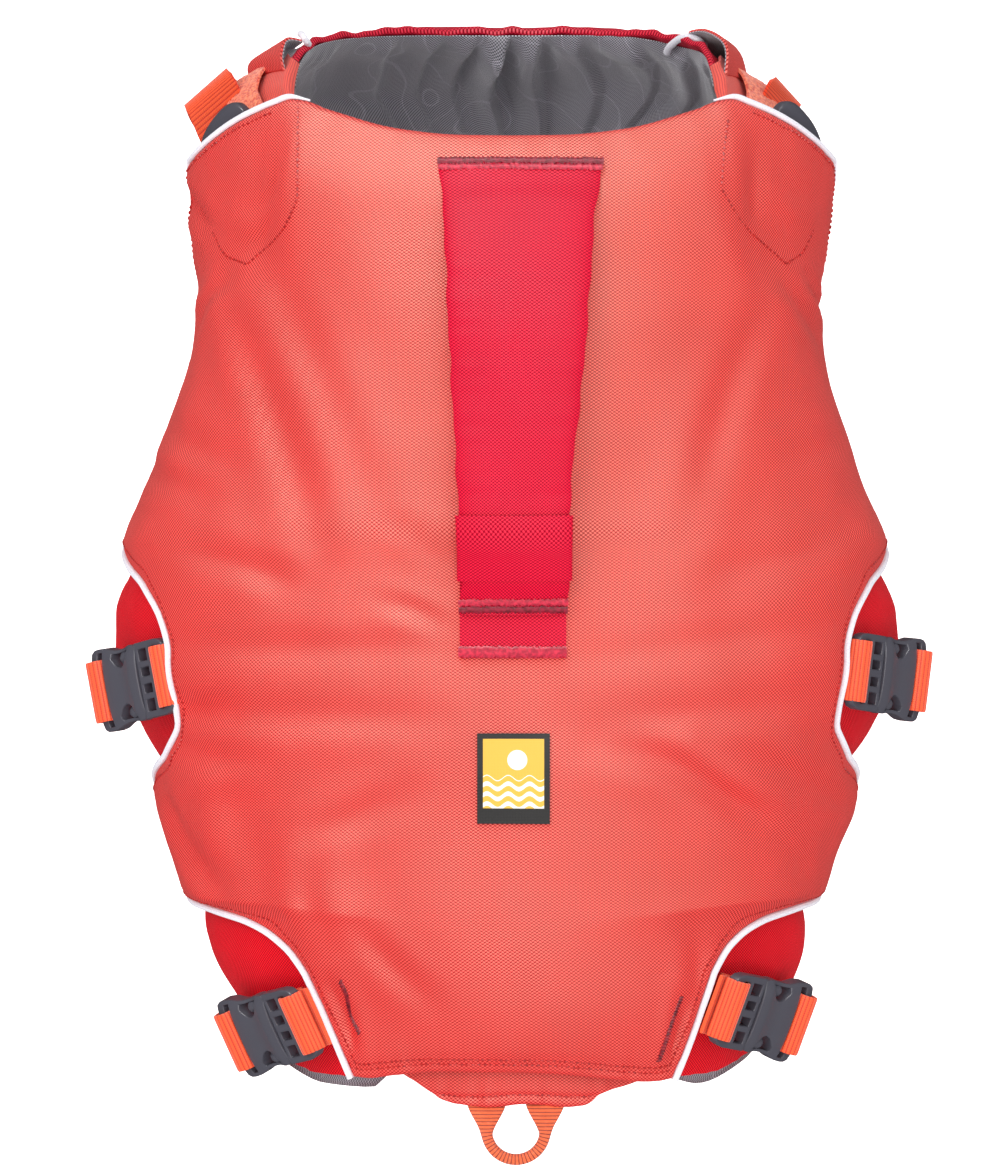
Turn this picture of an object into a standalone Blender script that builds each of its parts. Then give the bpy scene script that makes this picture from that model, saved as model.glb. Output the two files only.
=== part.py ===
"""Dog life jacket, filled out as on a standing dog, with no dog inside.

Metres. +Z is up from the dog's back, +Y points to its head and +X to its right-hand side.
The origin lies on the inner face of the back panel, over the spine, where the dog's back carries it.
The cloth pieces are walls on two forms: FORM gives the trunk as sections across the spine, and CHEST
gives the breast from the throat rim down to the seam between the forelegs.
"""

import math

import bmesh
import bpy
import numpy as np
from mathutils import Vector

GAP = 0.0003
SIDES = {"left": -1, "right": 1}

# Trunk: y = place along the spine, half = half width, top = ridge, side = height of the widest line,
# bottom = belly line, shift = how far the section lies askew.
FORM = (
    # y       half    top     side    bottom   shift
    (-0.212, 0.0840, -0.021, -0.082, -0.186, 0.0005),
    (-0.192, 0.0995, -0.017, -0.085, -0.194, 0.0005),
    (-0.172, 0.1125, -0.014, -0.089, -0.203, 0.0000),
    (-0.149, 0.1235, -0.011, -0.092, -0.212, -0.0015),
    (-0.138, 0.1250, -0.010, -0.094, -0.217, -0.0025),
    (-0.126, 0.1240, -0.009, -0.095, -0.221, -0.0032),
    (-0.088, 0.1340, -0.006, -0.099, -0.232, -0.0028),
    (-0.060, 0.1510, -0.004, -0.102, -0.238, -0.0018),
    (-0.030, 0.1630, -0.002, -0.104, -0.243, -0.0018),
    (-0.012, 0.1625, -0.001, -0.104, -0.245, -0.0020),
    (0.012, 0.1515, 0.000, -0.103, -0.246, -0.0026),
    (0.024, 0.1435, 0.001, -0.102, -0.246, -0.0030),
    (0.054, 0.1310, 0.001, -0.101, -0.246, -0.0026),
    (0.094, 0.1205, 0.000, -0.099, -0.242, -0.0018),
    (0.116, 0.1190, -0.001, -0.098, -0.238, -0.0012),
    (0.137, 0.1230, -0.003, -0.097, -0.234, -0.0006),
    (0.170, 0.1278, -0.007, -0.095, -0.222, 0.0000),
    (0.208, 0.1320, -0.014, -0.092, -0.200, 0.0000),
)
BOX = 0.05  # how square a section is, 0 for an ellipse

# Front edge of the back panel seen from above: x = distance from the spine, y = place along it.
NECKLINE = (
    # x      y
    (0.0000, 0.1790),
    (0.0200, 0.1793),
    (0.0450, 0.1820),
    (0.0740, 0.1905),
    (0.0865, 0.1950),
    (0.0955, 0.1925),
    (0.1090, 0.1870),
    (0.1220, 0.1790),
    (0.1320, 0.1705),
)
FLAP_TURN = 80.0  # degrees round the body at the shoulder flap's outer corner
HEM_Y = -0.1985
# Side edge of the back panel: y, and how far round the body it lies, in degrees from the spine.
SIDE_EDGE = (
    # y       turn
    (-0.200, 39.0),
    (-0.177, 38.5),
    (-0.157, 39.0),
    (-0.148, 41.0),
    (-0.1400, 45.5),
    (-0.1350, 52.0),
    (-0.1310, 65.0),
    (-0.1275, 82.0),
    (-0.122, 90.0),
    (-0.112, 93.0),
    (-0.092, 93.0),
    (-0.083, 89.0),
    (-0.0755, 78.0),
    (-0.068, 65.0),
    (-0.055, 55.5),
    (-0.040, 53.3),
    (-0.028, 53.0),
    (-0.013, 55.2),
    (-0.001, 62.5),
    (0.008, 76.0),
    (0.015, 88.0),
    (0.024, 94.0),
    (0.054, 95.0),
    (0.094, 93.0),
    (0.134, 90.0),
    (0.158, 86.0),
    (0.174, 80.0),
)
# Stations of the back panel's rows: from y, to y, rows between them.
BACK_ROWS = (
    (0.1735, 0.024, 10),
    (0.024, -0.006, 4),
    (-0.006, -0.061, 5),
    (-0.061, -0.085, 3),
    (-0.085, -0.122, 3),
    (-0.122, -0.1400, 5),
    (-0.1400, HEM_Y, 5),
)
BACK_COLS = 24
LINING_COLS = 20
NECK_FADE_Y = 0.060  # rows behind this run straight across

LINING = 0.0012
PAD_INNER = 0.0025  # inner face of the padded panel, out from the trunk form
PAD_EDGE = 0.0036
PAD_FULL = 0.0125
PAD_FLAP = 0.0045
PAD_ROLL = 0.032  # how far in from the neck and the hem the foam reaches its full height
PAD_SIDE = 0.085  # the same from the sides
FLAP_ZONE = (0.080, 0.098, 0.112, 0.140)  # x from, x to, y from, y to, where the foam ends
# Soft valleys of the padded panel: where the foam blocks meet and where the jacket bends.
VALLEYS = (
    # x0     y0      x1     y1     depth   width
    (-0.103, 0.125, -0.068, 0.012, 0.0016, 0.007),
    (0.092, 0.118, 0.068, 0.015, 0.0016, 0.007),
    (-0.130, -0.024, -0.030, -0.026, 0.0016, 0.006),
    (0.030, -0.026, 0.130, -0.022, 0.0014, 0.006),
    (-0.130, -0.050, -0.035, -0.052, 0.0024, 0.007),
    (0.040, -0.054, 0.128, -0.046, 0.0020, 0.007),
    (0.034, -0.064, 0.084, -0.088, 0.0022, 0.007),
    (0.084, -0.088, 0.106, -0.112, 0.0022, 0.007),
    (-0.072, -0.100, -0.040, -0.084, 0.0016, 0.007),
    (-0.128, -0.082, -0.104, -0.118, 0.0020, 0.007),
    (-0.066, -0.158, -0.060, -0.186, 0.0020, 0.005),
    (0.064, -0.164, 0.059, -0.188, 0.0020, 0.005),
)

# Belly panel: its front edge, as degrees from the belly line and y, and its wings' upper edge.
BELLY_FRONT = (
    # turn   y
    (0.0, 0.1135),
    (25.0, 0.1130),
    (31.0, 0.0960),
    (40.0, 0.0700),
    (52.0, 0.0440),
    (66.0, 0.0260),
    (80.0, 0.0140),
    (92.0, 0.0070),
    (110.0, 0.0040),
    (150.0, 0.0020),
)
BELLY_REAR = (
    # turn    y
    (0.0, -0.172),
    (45.0, -0.175),
    (75.0, -0.181),
    (104.0, -0.1920),
    (122.0, -0.1990),
    (150.0, -0.2010),
)
WING_TOP = (
    # y      turn from the belly line
    (-0.200, 144.0),
    (-0.150, 143.0),
    (-0.120, 134.0),
    (-0.080, 131.0),
    (-0.030, 132.0),
    (0.010, 128.0),
)
BELLY_ROWS = 12
BELLY_COLS = 30
WING_OUTER = -0.0019  # outer face of the wings, in from the trunk form
WING_WALL = 0.0026
BELLY_PAD = 0.0060  # extra wall of the padded belly, away from the wings
BELLY_LINING_GAP = 0.0006

# Breast: mid line of the piece and its side edges, from the throat rim down to the seam.
CHEST = (
    # y_mid   z_mid    shift    half    y_edge  z_edge  arc
    (0.2285, -0.148, -0.0030, 0.0850, 0.2000, -0.052, 84.0),
    (0.2235, -0.169, -0.0050, 0.0980, 0.1945, -0.082, 78.0),
    (0.2140, -0.190, -0.0050, 0.1035, 0.1870, -0.114, 70.0),
    (0.1980, -0.208, -0.0020, 0.0900, 0.1800, -0.150, 60.0),
    (0.1750, -0.222, -0.0004, 0.0690, 0.1650, -0.183, 48.0),
    (0.1460, -0.232, 0.0000, 0.0560, 0.1415, -0.210, 36.0),
    (0.1145, -0.2385, 0.0000, 0.0505, 0.1145, -0.2270, 25.0),
)
CHEST_BOW = (0.45, 1.4, 6.0)  # throat rim: share bowed evenly, its power, the power of the corners
CHEST_ROWS = 12
CHEST_COLS = 18
CHEST_EDGE = 0.0030
CHEST_PAD = 0.0085
CHEST_LINING_GAP = 0.0017
GATHER_ROWS = 7
GATHER_COLS = 30
GATHERS = 11
GATHER_DEPTH = 0.0024

# Shoulder sleeves, on the breast form: u = place from the throat (0) to the tongue's end (1).
SLEEVE = {
    #        mouth u, rear u, stand: how far its middle stands off the tongue
    "left": (0.82, 0.955, 0.0055),
    "right": (0.70, 0.970, 0.0065),
}
SLEEVE_WALL = 0.0016
SLEEVE_V = (-0.010, 0.330)
SLEEVE_CLEAR = 0.0007  # between the tongue and the sleeve's mouth
SLEEVE_REACH = 0.72  # part of the arch at which the sleeve ends behind

WEB_W = 0.0250
WEB_T = 0.0016
PIPING_R = 0.0017

# Side-release buckles: y and degrees from the spine at the middle, twist in the surface, and where
# the upper strap starts.
BUCKLES = {
    #              y       turn  twist  strap start
    "front_left": (-0.0415, 68.0, 7.0, 58.8),
    "front_right": (-0.0370, 68.0, 7.0, 57.5),
    "rear_left": (-0.1780, 57.0, 11.0, 43.4),
    "rear_right": (-0.1725, 57.0, 9.0, 42.5),
}
BUCKLE_LIFT = 0.0013  # underside of the buckle above the trunk form
BODY_L = 0.0295
BODY_W = 0.0340
BODY_T = 0.0088
FRAME_L = 0.0190
FRAME_W = 0.0312
FRAME_T = 0.0050
SLOT_W = WEB_W + 0.0012

# Neck closure: y and degrees from the spine over the buckle's middle.
CLOSURE = {
    #        y       turn
    "left": (0.1785, 72.0),
    "right": (0.1775, 75.0),
}
CLOSURE_SLOPE = 0.62  # how steeply the shoulder flap's edge runs back, as the sine of its angle
CLOSURE_BUCKLE = (0.0190, 0.0125, 0.0075, 0.80)  # half length, half width, thickness, taper below
CLOSURE_DEPTH = 0.0012  # clear space between the flap's lining and the buckle
# Neck straps: rungs from the pile patch round the shoulder, front end and rear end of each.
NECK_STRAPS = {
    #    front x  y       z        rear x   y       z
    "left": (
        (-0.1147, 0.2085, -0.0590, -0.1111, 0.1890, -0.0745),
        (-0.1270, 0.2010, -0.0690, -0.1160, 0.1820, -0.0850),
        (-0.1320, 0.1955, -0.0800, -0.1175, 0.1760, -0.0940),
        (-0.1290, 0.1915, -0.0920, -0.1150, 0.1725, -0.1025),
        (-0.1200, 0.1885, -0.1010, -0.1070, 0.1700, -0.1105),
    ),
    "right": (
        (0.1080, 0.2070, -0.0600, 0.1083, 0.1840, -0.0697),
        (0.1175, 0.2010, -0.0688, 0.1140, 0.1790, -0.0796),
        (0.1215, 0.1960, -0.0800, 0.1160, 0.1745, -0.0900),
        (0.1190, 0.1920, -0.0920, 0.1140, 0.1710, -0.1010),
        (0.1110, 0.1890, -0.1010, 0.1070, 0.1690, -0.1100),
    ),
}
BAND_WALL = 0.0012
BAND_V = 0.32
PILE_WALL = 0.0016

# Handle: y, left and right edges, height of its underside above the panel, wall.
HANDLE = (
    # y       left     right   lift    wall
    (-0.0115, -0.0208, 0.0218, 0.0024, 0.0022),
    (-0.0060, -0.0208, 0.0220, 0.0026, 0.0024),
    (0.0010, -0.0205, 0.0225, 0.0055, 0.0040),
    (0.0140, -0.0205, 0.0225, 0.0100, 0.0046),
    (0.0270, -0.0212, 0.0228, 0.0125, 0.0046),
    (0.0500, -0.0224, 0.0245, 0.0140, 0.0048),
    (0.0800, -0.0242, 0.0280, 0.0145, 0.0050),
    (0.1100, -0.0258, 0.0305, 0.0130, 0.0050),
    (0.1340, -0.0268, 0.0322, 0.0085, 0.0046),
    (0.1500, -0.0278, 0.0336, 0.0035, 0.0036),
    (0.1600, -0.0288, 0.0352, 0.0005, 0.0026),
    (0.1685, -0.0292, 0.0362, 0.0004, 0.0022),
)
HANDLE_ROWS = 17
HANDLE_COLS = 6
WRAP_Y = (0.0020, 0.0270)
WRAP_WALL = 0.0012
WRAP_CLEAR = 0.0015
BASE_Y = (-0.0285, 0.0060)
BASE_HALF = 0.0212
BASE_WALL = 0.0016

PATCH = (0.0006, -0.0765, 0.0290, 0.0360, 0.0010)  # middle x and y, width, height, wall
TAB = (-0.187, -0.2105, 0.047, 0.0295, 0.0018)  # y from, y to, half width at each, wall
LOOP_X = 0.0016
LOOP_R = 0.0118
LOOP_FOOT_Y = -0.2020
LOOP_TURN_Y = -0.2200
LOOP_CORD = 0.0023

COLOURS = {
    # name            linear RGB             roughness
    "coral cloth": ((0.83, 0.075, 0.045), 0.75),
    "crimson cloth": ((0.50, 0.008, 0.030), 0.75),
    "grey lining": ((0.045, 0.047, 0.055), 0.60),
    "orange webbing": ((0.88, 0.12, 0.035), 0.70),
    "coral webbing": ((0.80, 0.07, 0.045), 0.70),
    "loop pile": ((0.83, 0.16, 0.10), 0.95),
    "grey acetal": ((0.055, 0.058, 0.068), 0.35),
    "pale piping": ((0.72, 0.71, 0.80), 0.45),
    "patch": ((0.75, 0.42, 0.05), 0.60),
}


def smooth(table, at, column=1):
    """The value of a column at a place, on a smooth curve through the table's rows, without overshoot."""
    xs = [row[0] for row in table]
    ys = [row[column] for row in table]
    at = min(max(at, xs[0]), xs[-1])
    i = min(max(int(np.searchsorted(xs, at)) - 1, 0), len(xs) - 2)

    def slope(k):
        """The curve's slope at row k: the harmonic mean of the slopes on its two sides."""
        before = (ys[k] - ys[k - 1]) / (xs[k] - xs[k - 1]) if k > 0 else None
        after = (ys[k + 1] - ys[k]) / (xs[k + 1] - xs[k]) if k < len(xs) - 1 else None
        if before is None or after is None:
            return after if before is None else before
        return 0.0 if before * after <= 0 else 2 * before * after / (before + after)

    step = xs[i + 1] - xs[i]
    t = (at - xs[i]) / step
    start = ys[i] * (1 + 2 * t) * (1 - t) ** 2 + step * slope(i) * t * (1 - t) ** 2
    end = ys[i + 1] * t * t * (3 - 2 * t) + step * slope(i + 1) * t * t * (t - 1)
    return start + end


def ramp(distance, width):
    """0 at an edge, rising fast and then levelling off at 1, as foam does beside a seam."""
    part = min(max(distance / width, 0.0), 1.0)
    return 1 - (1 - part) ** 2


def step_up(value, start, end):
    """0 before start, 1 after end and an S-curve between them."""
    part = min(max((value - start) / (end - start), 0.0), 1.0)
    return part * part * (3 - 2 * part)


def material(name):
    """The Principled material of this name, made once."""
    if name in bpy.data.materials:
        return bpy.data.materials[name]
    colour, roughness = COLOURS[name]
    made = bpy.data.materials.new(name)
    made.use_nodes = True
    shader = made.node_tree.nodes["Principled BSDF"]
    shader.inputs["Base Color"].default_value = (*colour, 1)
    shader.inputs["Roughness"].default_value = roughness
    made.diffuse_color = (*colour, 1)
    return made


def add(name, bm, look):
    """Puts a closed bmesh into the scene as one named object."""
    bmesh.ops.recalc_face_normals(bm, faces=bm.faces)
    if bm.calc_volume(signed=True) < 0:
        bmesh.ops.reverse_faces(bm, faces=bm.faces)
    mesh = bpy.data.meshes.new(name)
    bm.to_mesh(mesh)
    bm.free()
    mesh.shade_smooth()
    mesh.set_sharp_from_angle(angle=math.radians(40))
    obj = bpy.data.objects.new(name, mesh)
    obj.data.materials.append(material(look))
    bpy.context.scene.collection.objects.link(obj)
    return obj


def wall(name, rows, cols, outer, inner, look):
    """A closed sheet: outer(i, j) and inner(i, j) give its two faces at row i and column j."""
    bm = bmesh.new()
    bmesh.ops.create_grid(bm, x_segments=cols, y_segments=rows, size=0.5)
    row = bm.verts.layers.int.new("row")
    col = bm.verts.layers.int.new("col")
    for v in bm.verts:
        v[row] = round((v.co.y + 0.5) * rows)
        v[col] = round((v.co.x + 0.5) * cols)
    sheet = bm.faces[:]
    made = bmesh.ops.extrude_face_region(bm, geom=sheet, use_keep_orig=True)
    back = {g for g in made["geom"] if isinstance(g, bmesh.types.BMVert)}
    for v in bm.verts:
        place = inner if v in back else outer
        v.co = place(v[row], v[col])
    return add(name, bm, look)


def trunk(y, turn, out=0.0):
    """A point of the trunk form: turn is the angle from the spine in radians, negative on the left."""

    def section(y, turn):
        half = smooth(FORM, y, 1)
        top = smooth(FORM, y, 2)
        side = smooth(FORM, y, 3)
        bottom = smooth(FORM, y, 4)
        shift = smooth(FORM, y, 5)
        s, c = math.sin(turn), math.cos(turn)
        height = (top - side) if c > 0 else (side - bottom)
        x = shift + half * s * (1 + BOX * c * c)
        return Vector((x, y, side + height * c * (1 + BOX * s * s)))

    here = section(y, turn)
    if not out:
        return here
    across = section(y, turn + 0.01) - section(y, turn - 0.01)
    along = section(y + 0.002, turn) - section(y - 0.002, turn)
    return here + across.cross(along).normalized() * out


def neck_line():
    """The back panel's front edge: s, from the spine to the flap's corner, and its y there."""
    line = []
    for k in range(25):
        y = NECKLINE[0][1]
        for _ in range(12):
            y = smooth(NECKLINE, abs(trunk(y, math.radians(FLAP_TURN) * k / 24, PAD_EDGE).x))
        line.append((k / 24, y))
    return line


def stations(spans):
    """The y of each row, from spans of (from, to, rows)."""
    ys = [spans[0][0]]
    for start, end, count in spans:
        ys += [start + (end - start) * (k + 1) / count for k in range(count)]
    return ys


BACK_Y = stations(BACK_ROWS)
NECK = neck_line()


def forward(base, s):
    """How far a row is swung forward at s, to follow the neckline."""
    return (smooth(NECK, abs(s)) - BACK_Y[0]) * step_up(base, NECK_FADE_Y, BACK_Y[0])


def back_place(i, s):
    """The y and the angle round the body of the back panel's row i, at s from -1 (left) to 1."""
    base = BACK_Y[i]
    return base + forward(base, s), s * math.radians(smooth(SIDE_EDGE, base))


def back_share(y, turn):
    """The row's y at the side edge, and s, of the place at y and this angle round the body."""
    base = y
    for _ in range(5):
        s = min(max(turn / math.radians(smooth(SIDE_EDGE, base)), -1.0), 1.0)
        base = y - forward(base, s)
    return base, s


def valley(x, y):
    """How far the padded panel dips at a place seen from above."""
    dip = 0.0
    for x0, y0, x1, y1, depth, width in VALLEYS:
        a, b, p = np.array((x0, y0)), np.array((x1, y1)), np.array((x, y))
        t = min(max(float((p - a) @ (b - a) / ((b - a) @ (b - a))), 0.0), 1.0)
        away = float(np.linalg.norm(p - a - t * (b - a)))
        dip = max(dip, depth * math.exp(-((away / width) ** 2)))
    return dip


def pad_height(y, turn):
    """Thickness of the padded back panel at a place on the trunk."""
    here = trunk(y, turn)
    base, s = back_share(y, turn)
    edge = math.radians(smooth(SIDE_EDGE, base))
    to_side = (1 - abs(s)) * edge * smooth(FORM, y, 1)
    to_front = smooth(NECK, abs(s)) - y
    to_hem = y - HEM_Y
    full = ramp(to_side, PAD_SIDE) * ramp(to_front, PAD_ROLL) * ramp(to_hem, PAD_ROLL)
    thick = PAD_EDGE + (PAD_FULL - PAD_EDGE) * full
    x0, x1, y0, y1 = FLAP_ZONE
    flap = step_up(abs(here.x), x0, x1) * step_up(y, y0, y1)
    thick += (min(PAD_FLAP, thick) - thick) * flap
    return max(thick - valley(here.x, y) * full, PAD_EDGE)


def back_panel():
    """The padded coral panel over the back, with its shoulder flaps and two scallops a side."""
    rows = len(BACK_Y) - 1

    def face(i, j, thick):
        s = 2 * j / BACK_COLS - 1
        y, turn = back_place(i, s)
        return trunk(y, turn, PAD_INNER + (pad_height(y, turn) if thick else 0.0))

    wall(
        "back_panel", rows, BACK_COLS,
        lambda i, j: face(i, j, True), lambda i, j: face(i, j, False), "coral cloth",
    )


def back_lining():
    """The grey lining under the back panel."""
    rows = len(BACK_Y) - 1

    def face(i, j, out):
        y, turn = back_place(i, 2 * j / LINING_COLS - 1)
        return trunk(y, turn, out)

    wall(
        "back_lining", rows, LINING_COLS,
        lambda i, j: face(i, j, LINING), lambda i, j: face(i, j, 0.0), "grey lining",
    )


def back_top(x, y, above=0.0):
    """A point on the outer face of the back panel at a place seen from above, or so far above it."""
    turn = math.asin(min(max(x / (smooth(FORM, y, 1) + PAD_FULL), -1.0), 1.0))
    for _ in range(3):
        here = trunk(y, turn, PAD_INNER + pad_height(y, turn) + above)
        turn += (x - here.x) / (smooth(FORM, y, 1) + PAD_FULL)
    return here


def belly_place(t, b):
    """The y and the angle from the spine of the belly panel, t from front to rear and b from -1 to 1."""
    reach = smooth(WING_TOP, 0.004 - 0.2025 * t)
    turn = abs(b) * reach
    front = smooth(BELLY_FRONT, turn)
    rear = smooth(BELLY_REAR, turn)
    side = -1 if b < 0 else 1
    return front + (rear - front) * t, side * math.radians(180 - turn)


def belly_outer(t, b):
    """How far the belly panel's outer face lies out from the trunk form."""
    y, turn = belly_place(t, b)
    from_belly = math.degrees(math.pi - abs(turn))
    padded = 1 - step_up(from_belly, 35, 75)
    return WING_OUTER + BELLY_PAD * padded * ramp(min(t, 1 - t), 0.18)


def belly(name, cols, outer, inner, look):
    """A layer of the belly panel between two distances from the trunk form."""

    def face(i, j, out):
        t, b = i / BELLY_ROWS, 2 * j / cols - 1
        y, turn = belly_place(t, b)
        return trunk(y, turn, out(t, b))

    wall(name, BELLY_ROWS, cols, lambda i, j: face(i, j, outer), lambda i, j: face(i, j, inner), look)


def belly_panel():
    """The crimson belly panel and its grey lining, in one wrap from wing to wing."""
    shell_inner = WING_OUTER - WING_WALL
    lining_outer = shell_inner - BELLY_LINING_GAP
    belly("belly_panel", BELLY_COLS, belly_outer, lambda t, b: shell_inner, "crimson cloth")
    belly(
        "belly_lining", BELLY_COLS // 2,
        lambda t, b: lining_outer, lambda t, b: lining_outer - LINING, "grey lining",
    )


def chest(u, v, out=0.0):
    """A point of the breast form: u across, -1 to 1, v from the throat rim to the seam."""
    rows = [(k / (len(CHEST) - 1), *row) for k, row in enumerate(CHEST)]

    def place(u, v):
        y_mid, z_mid, shift, half, y_edge, z_edge, arc = (smooth(rows, v, c) for c in range(1, 8))
        arc = math.radians(arc)
        blend = (1 - math.cos(arc * u)) / (1 - math.cos(arc))
        share, bow, corner = CHEST_BOW
        rim = share * blend ** bow + (1 - share) * blend ** corner
        forward = blend + (rim - blend) * (1 - min(max(v, 0.0), 1.0)) ** 2
        x = shift + half * math.sin(arc * u) / math.sin(arc)
        return Vector((x, y_mid + (y_edge - y_mid) * forward, z_mid + (z_edge - z_mid) * blend))

    here = place(u, v)
    if not out:
        return here
    across = place(u + 0.02, v) - place(u - 0.02, v)
    v_low, v_high = max(v - 0.02, 0.0), min(v + 0.02, 1.0)
    down = place(u, v_high) - place(u, v_low)
    return here + across.cross(down).normalized() * out


def chest_thick(u, v):
    """Thickness of the padded breast piece: thin at its edges and along the tongues."""
    padded = (1 - step_up(abs(u), 0.35, 0.62)) * ramp(v, 0.22) * ramp(1 - v, 0.2)
    return CHEST_EDGE + (CHEST_PAD - CHEST_EDGE) * padded


def chest_panel():
    """The crimson breast piece, whose two tongues run up into the shoulder sleeves."""
    wall(
        "chest_panel", CHEST_ROWS, CHEST_COLS,
        lambda i, j: chest(2 * j / CHEST_COLS - 1, i / CHEST_ROWS,
                           chest_thick(2 * j / CHEST_COLS - 1, i / CHEST_ROWS)),
        lambda i, j: chest(2 * j / CHEST_COLS - 1, i / CHEST_ROWS),
        "crimson cloth",
    )


def chest_lining():
    """The grey lining of the breast piece, gathered along the throat rim."""

    def face(i, j, inner):
        u, v = 0.97 * (2 * j / GATHER_COLS - 1), 0.02 + 0.98 * i / GATHER_ROWS
        out = -CHEST_LINING_GAP
        if inner:
            fold = 0.5 + 0.5 * math.cos(math.pi * GATHERS * u + 1.3 * math.sin(5 * u))
            fade = (1 - v) ** 1.5 * (1 - abs(u) ** 4)
            out -= LINING + GATHER_DEPTH * fold * fade
        return chest(u, v, out)

    wall(
        "chest_lining", GATHER_ROWS, GATHER_COLS,
        lambda i, j: face(i, j, False), lambda i, j: face(i, j, True), "grey lining",
    )


def sleeve(side):
    """A coral shoulder sleeve: it stands off the tongue and closes on it at the piped mouth."""
    sign = SIDES[side]
    mouth, rear, stand = SLEEVE[side]
    rows, cols = 6, 9

    def face(i, j, out):
        v = SLEEVE_V[0] + (SLEEVE_V[1] - SLEEVE_V[0]) * i / rows
        part = j / cols
        arch = stand * math.sin(math.pi * SLEEVE_REACH * part)
        u = mouth + (rear - mouth) * part
        return chest(sign * u, v, CHEST_EDGE + SLEEVE_CLEAR + arch + out)

    wall(
        f"shoulder_sleeve_{side}", rows, cols,
        lambda i, j: face(i, j, SLEEVE_WALL), lambda i, j: face(i, j, 0.0), "coral cloth",
    )


def tube(name, points, radius, look, rings=1):
    """A round bead along a line of points."""
    curve = bpy.data.curves.new(name, "CURVE")
    curve.dimensions = "3D"
    curve.bevel_depth = radius
    curve.bevel_resolution = rings
    curve.use_fill_caps = True
    spline = curve.splines.new("POLY")
    spline.points.add(len(points) - 1)
    for point, place in zip(spline.points, points):
        point.co = (*place, 1)
    obj = bpy.data.objects.new(name, curve)
    curve.materials.append(material(look))
    bpy.context.scene.collection.objects.link(obj)
    return obj


def beside(points, normals, away, distance):
    """A line moved sideways within a surface, away from the piece that it edges."""
    moved = []
    for k, point in enumerate(points):
        ahead = points[min(k + 1, len(points) - 1)]
        behind = points[max(k - 1, 0)]
        out = (ahead - behind).cross(normals[k]).normalized() * away
        moved.append(point + out * distance)
    return moved


def edge_point(i, s, out):
    """A point of the back panel's edge and the surface normal there."""
    y, turn = back_place(i, s)
    low, high = trunk(y, turn, out), trunk(y, turn, out + 0.001)
    return low, (high - low).normalized()


def pipings():
    """Pale beads on the shoulder flaps, the scallops and the sleeve mouths."""
    mid = PAD_INNER + PAD_EDGE * 0.55
    off = PIPING_R + 2 * GAP
    scallops = {"front": (0.024, -0.085), "rear": (-0.116, HEM_Y)}
    for side, sign in SIDES.items():
        for place, (start, end) in scallops.items():
            rows = [i for i, y in enumerate(BACK_Y) if end - 1e-6 <= y <= start + 1e-6]
            points, normals = zip(*(edge_point(i, sign, mid) for i in rows))
            tube(f"{place}_scallop_piping_{side}", beside(points, normals, sign * -1, off),
                 PIPING_R, "pale piping")
        corner = [(0, 1 - 2 * k / BACK_COLS) for k in range(6, -1, -1)] + [(1, 1.0), (2, 1.0)]
        points, normals = zip(*(edge_point(i, sign * s, mid) for i, s in corner))
        tube(f"flap_piping_{side}", beside(points, normals, sign * -1, off), PIPING_R, "pale piping")
        mouth = SLEEVE[side][0]
        out = CHEST_EDGE + SLEEVE_CLEAR + PIPING_R * 0.9
        steps = [SLEEVE_V[0] + (SLEEVE_V[1] - SLEEVE_V[0]) * k / 6 for k in range(7)]
        line = [chest(sign * (mouth - 0.018), v, out) for v in steps]
        tube(f"sleeve_piping_{side}", line, PIPING_R * 0.9, "pale piping")


def webbing(name, path, across, width, thick, look="orange webbing"):
    """A flat strap along a path, its width along one direction."""
    across = across.normalized()
    bm = bmesh.new()
    rings = []
    for k, point in enumerate(path):
        ahead = path[min(k + 1, len(path) - 1)] - point
        behind = point - path[max(k - 1, 0)]
        ahead = ahead.normalized() if ahead.length else behind.normalized()
        behind = behind.normalized() if behind.length else ahead
        along = (ahead + behind).normalized()
        up = across.cross(along).normalized() / max(along.dot(ahead), 0.5)
        rings.append([
            bm.verts.new(point + across * (w * width / 2) + up * (h * thick / 2))
            for w, h in ((-1, -1), (1, -1), (1, 1), (-1, 1))
        ])
    bm.faces.new(rings[0])
    bm.faces.new(rings[-1])
    for first, second in zip(rings, rings[1:]):
        for k in range(4):
            bm.faces.new((first[k], first[(k + 1) % 4], second[(k + 1) % 4], second[k]))
    return add(name, bm, look)


def slotted(name, xs, ys, holes, thick, frame, look):
    """A moulded plate from columns and rows of cells, with some cells left open."""
    origin, along, across, up = frame
    bm = bmesh.new()
    grid = [[bm.verts.new((x, y, 0)) for x in xs] for y in ys]
    for r in range(len(ys) - 1):
        for c in range(len(xs) - 1):
            if (r, c) not in holes:
                bm.faces.new((grid[r][c], grid[r][c + 1], grid[r + 1][c + 1], grid[r + 1][c]))
    made = bmesh.ops.extrude_face_region(bm, geom=bm.faces[:], use_keep_orig=True)
    top = [g for g in made["geom"] if isinstance(g, bmesh.types.BMVert)]
    bmesh.ops.translate(bm, verts=top, vec=(0, 0, thick))
    bmesh.ops.recalc_face_normals(bm, faces=bm.faces)
    upright = [e for e in bm.edges if e.verts[0].co.z != e.verts[1].co.z]
    corners = [
        e for e in upright
        if e.calc_face_angle(0) > 1
        and abs(e.verts[0].co.x) > xs[-1] * 0.999
        and e.verts[0].co.y in (ys[0], ys[-1])
    ]
    bmesh.ops.bevel(
        bm, geom=corners, offset=0.0030, segments=2, profile=0.5, affect="EDGES", material=-1
    )
    for v in bm.verts:
        v.co = origin + across * v.co.x + along * v.co.y + up * v.co.z
    return add(name, bm, look)


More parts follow.
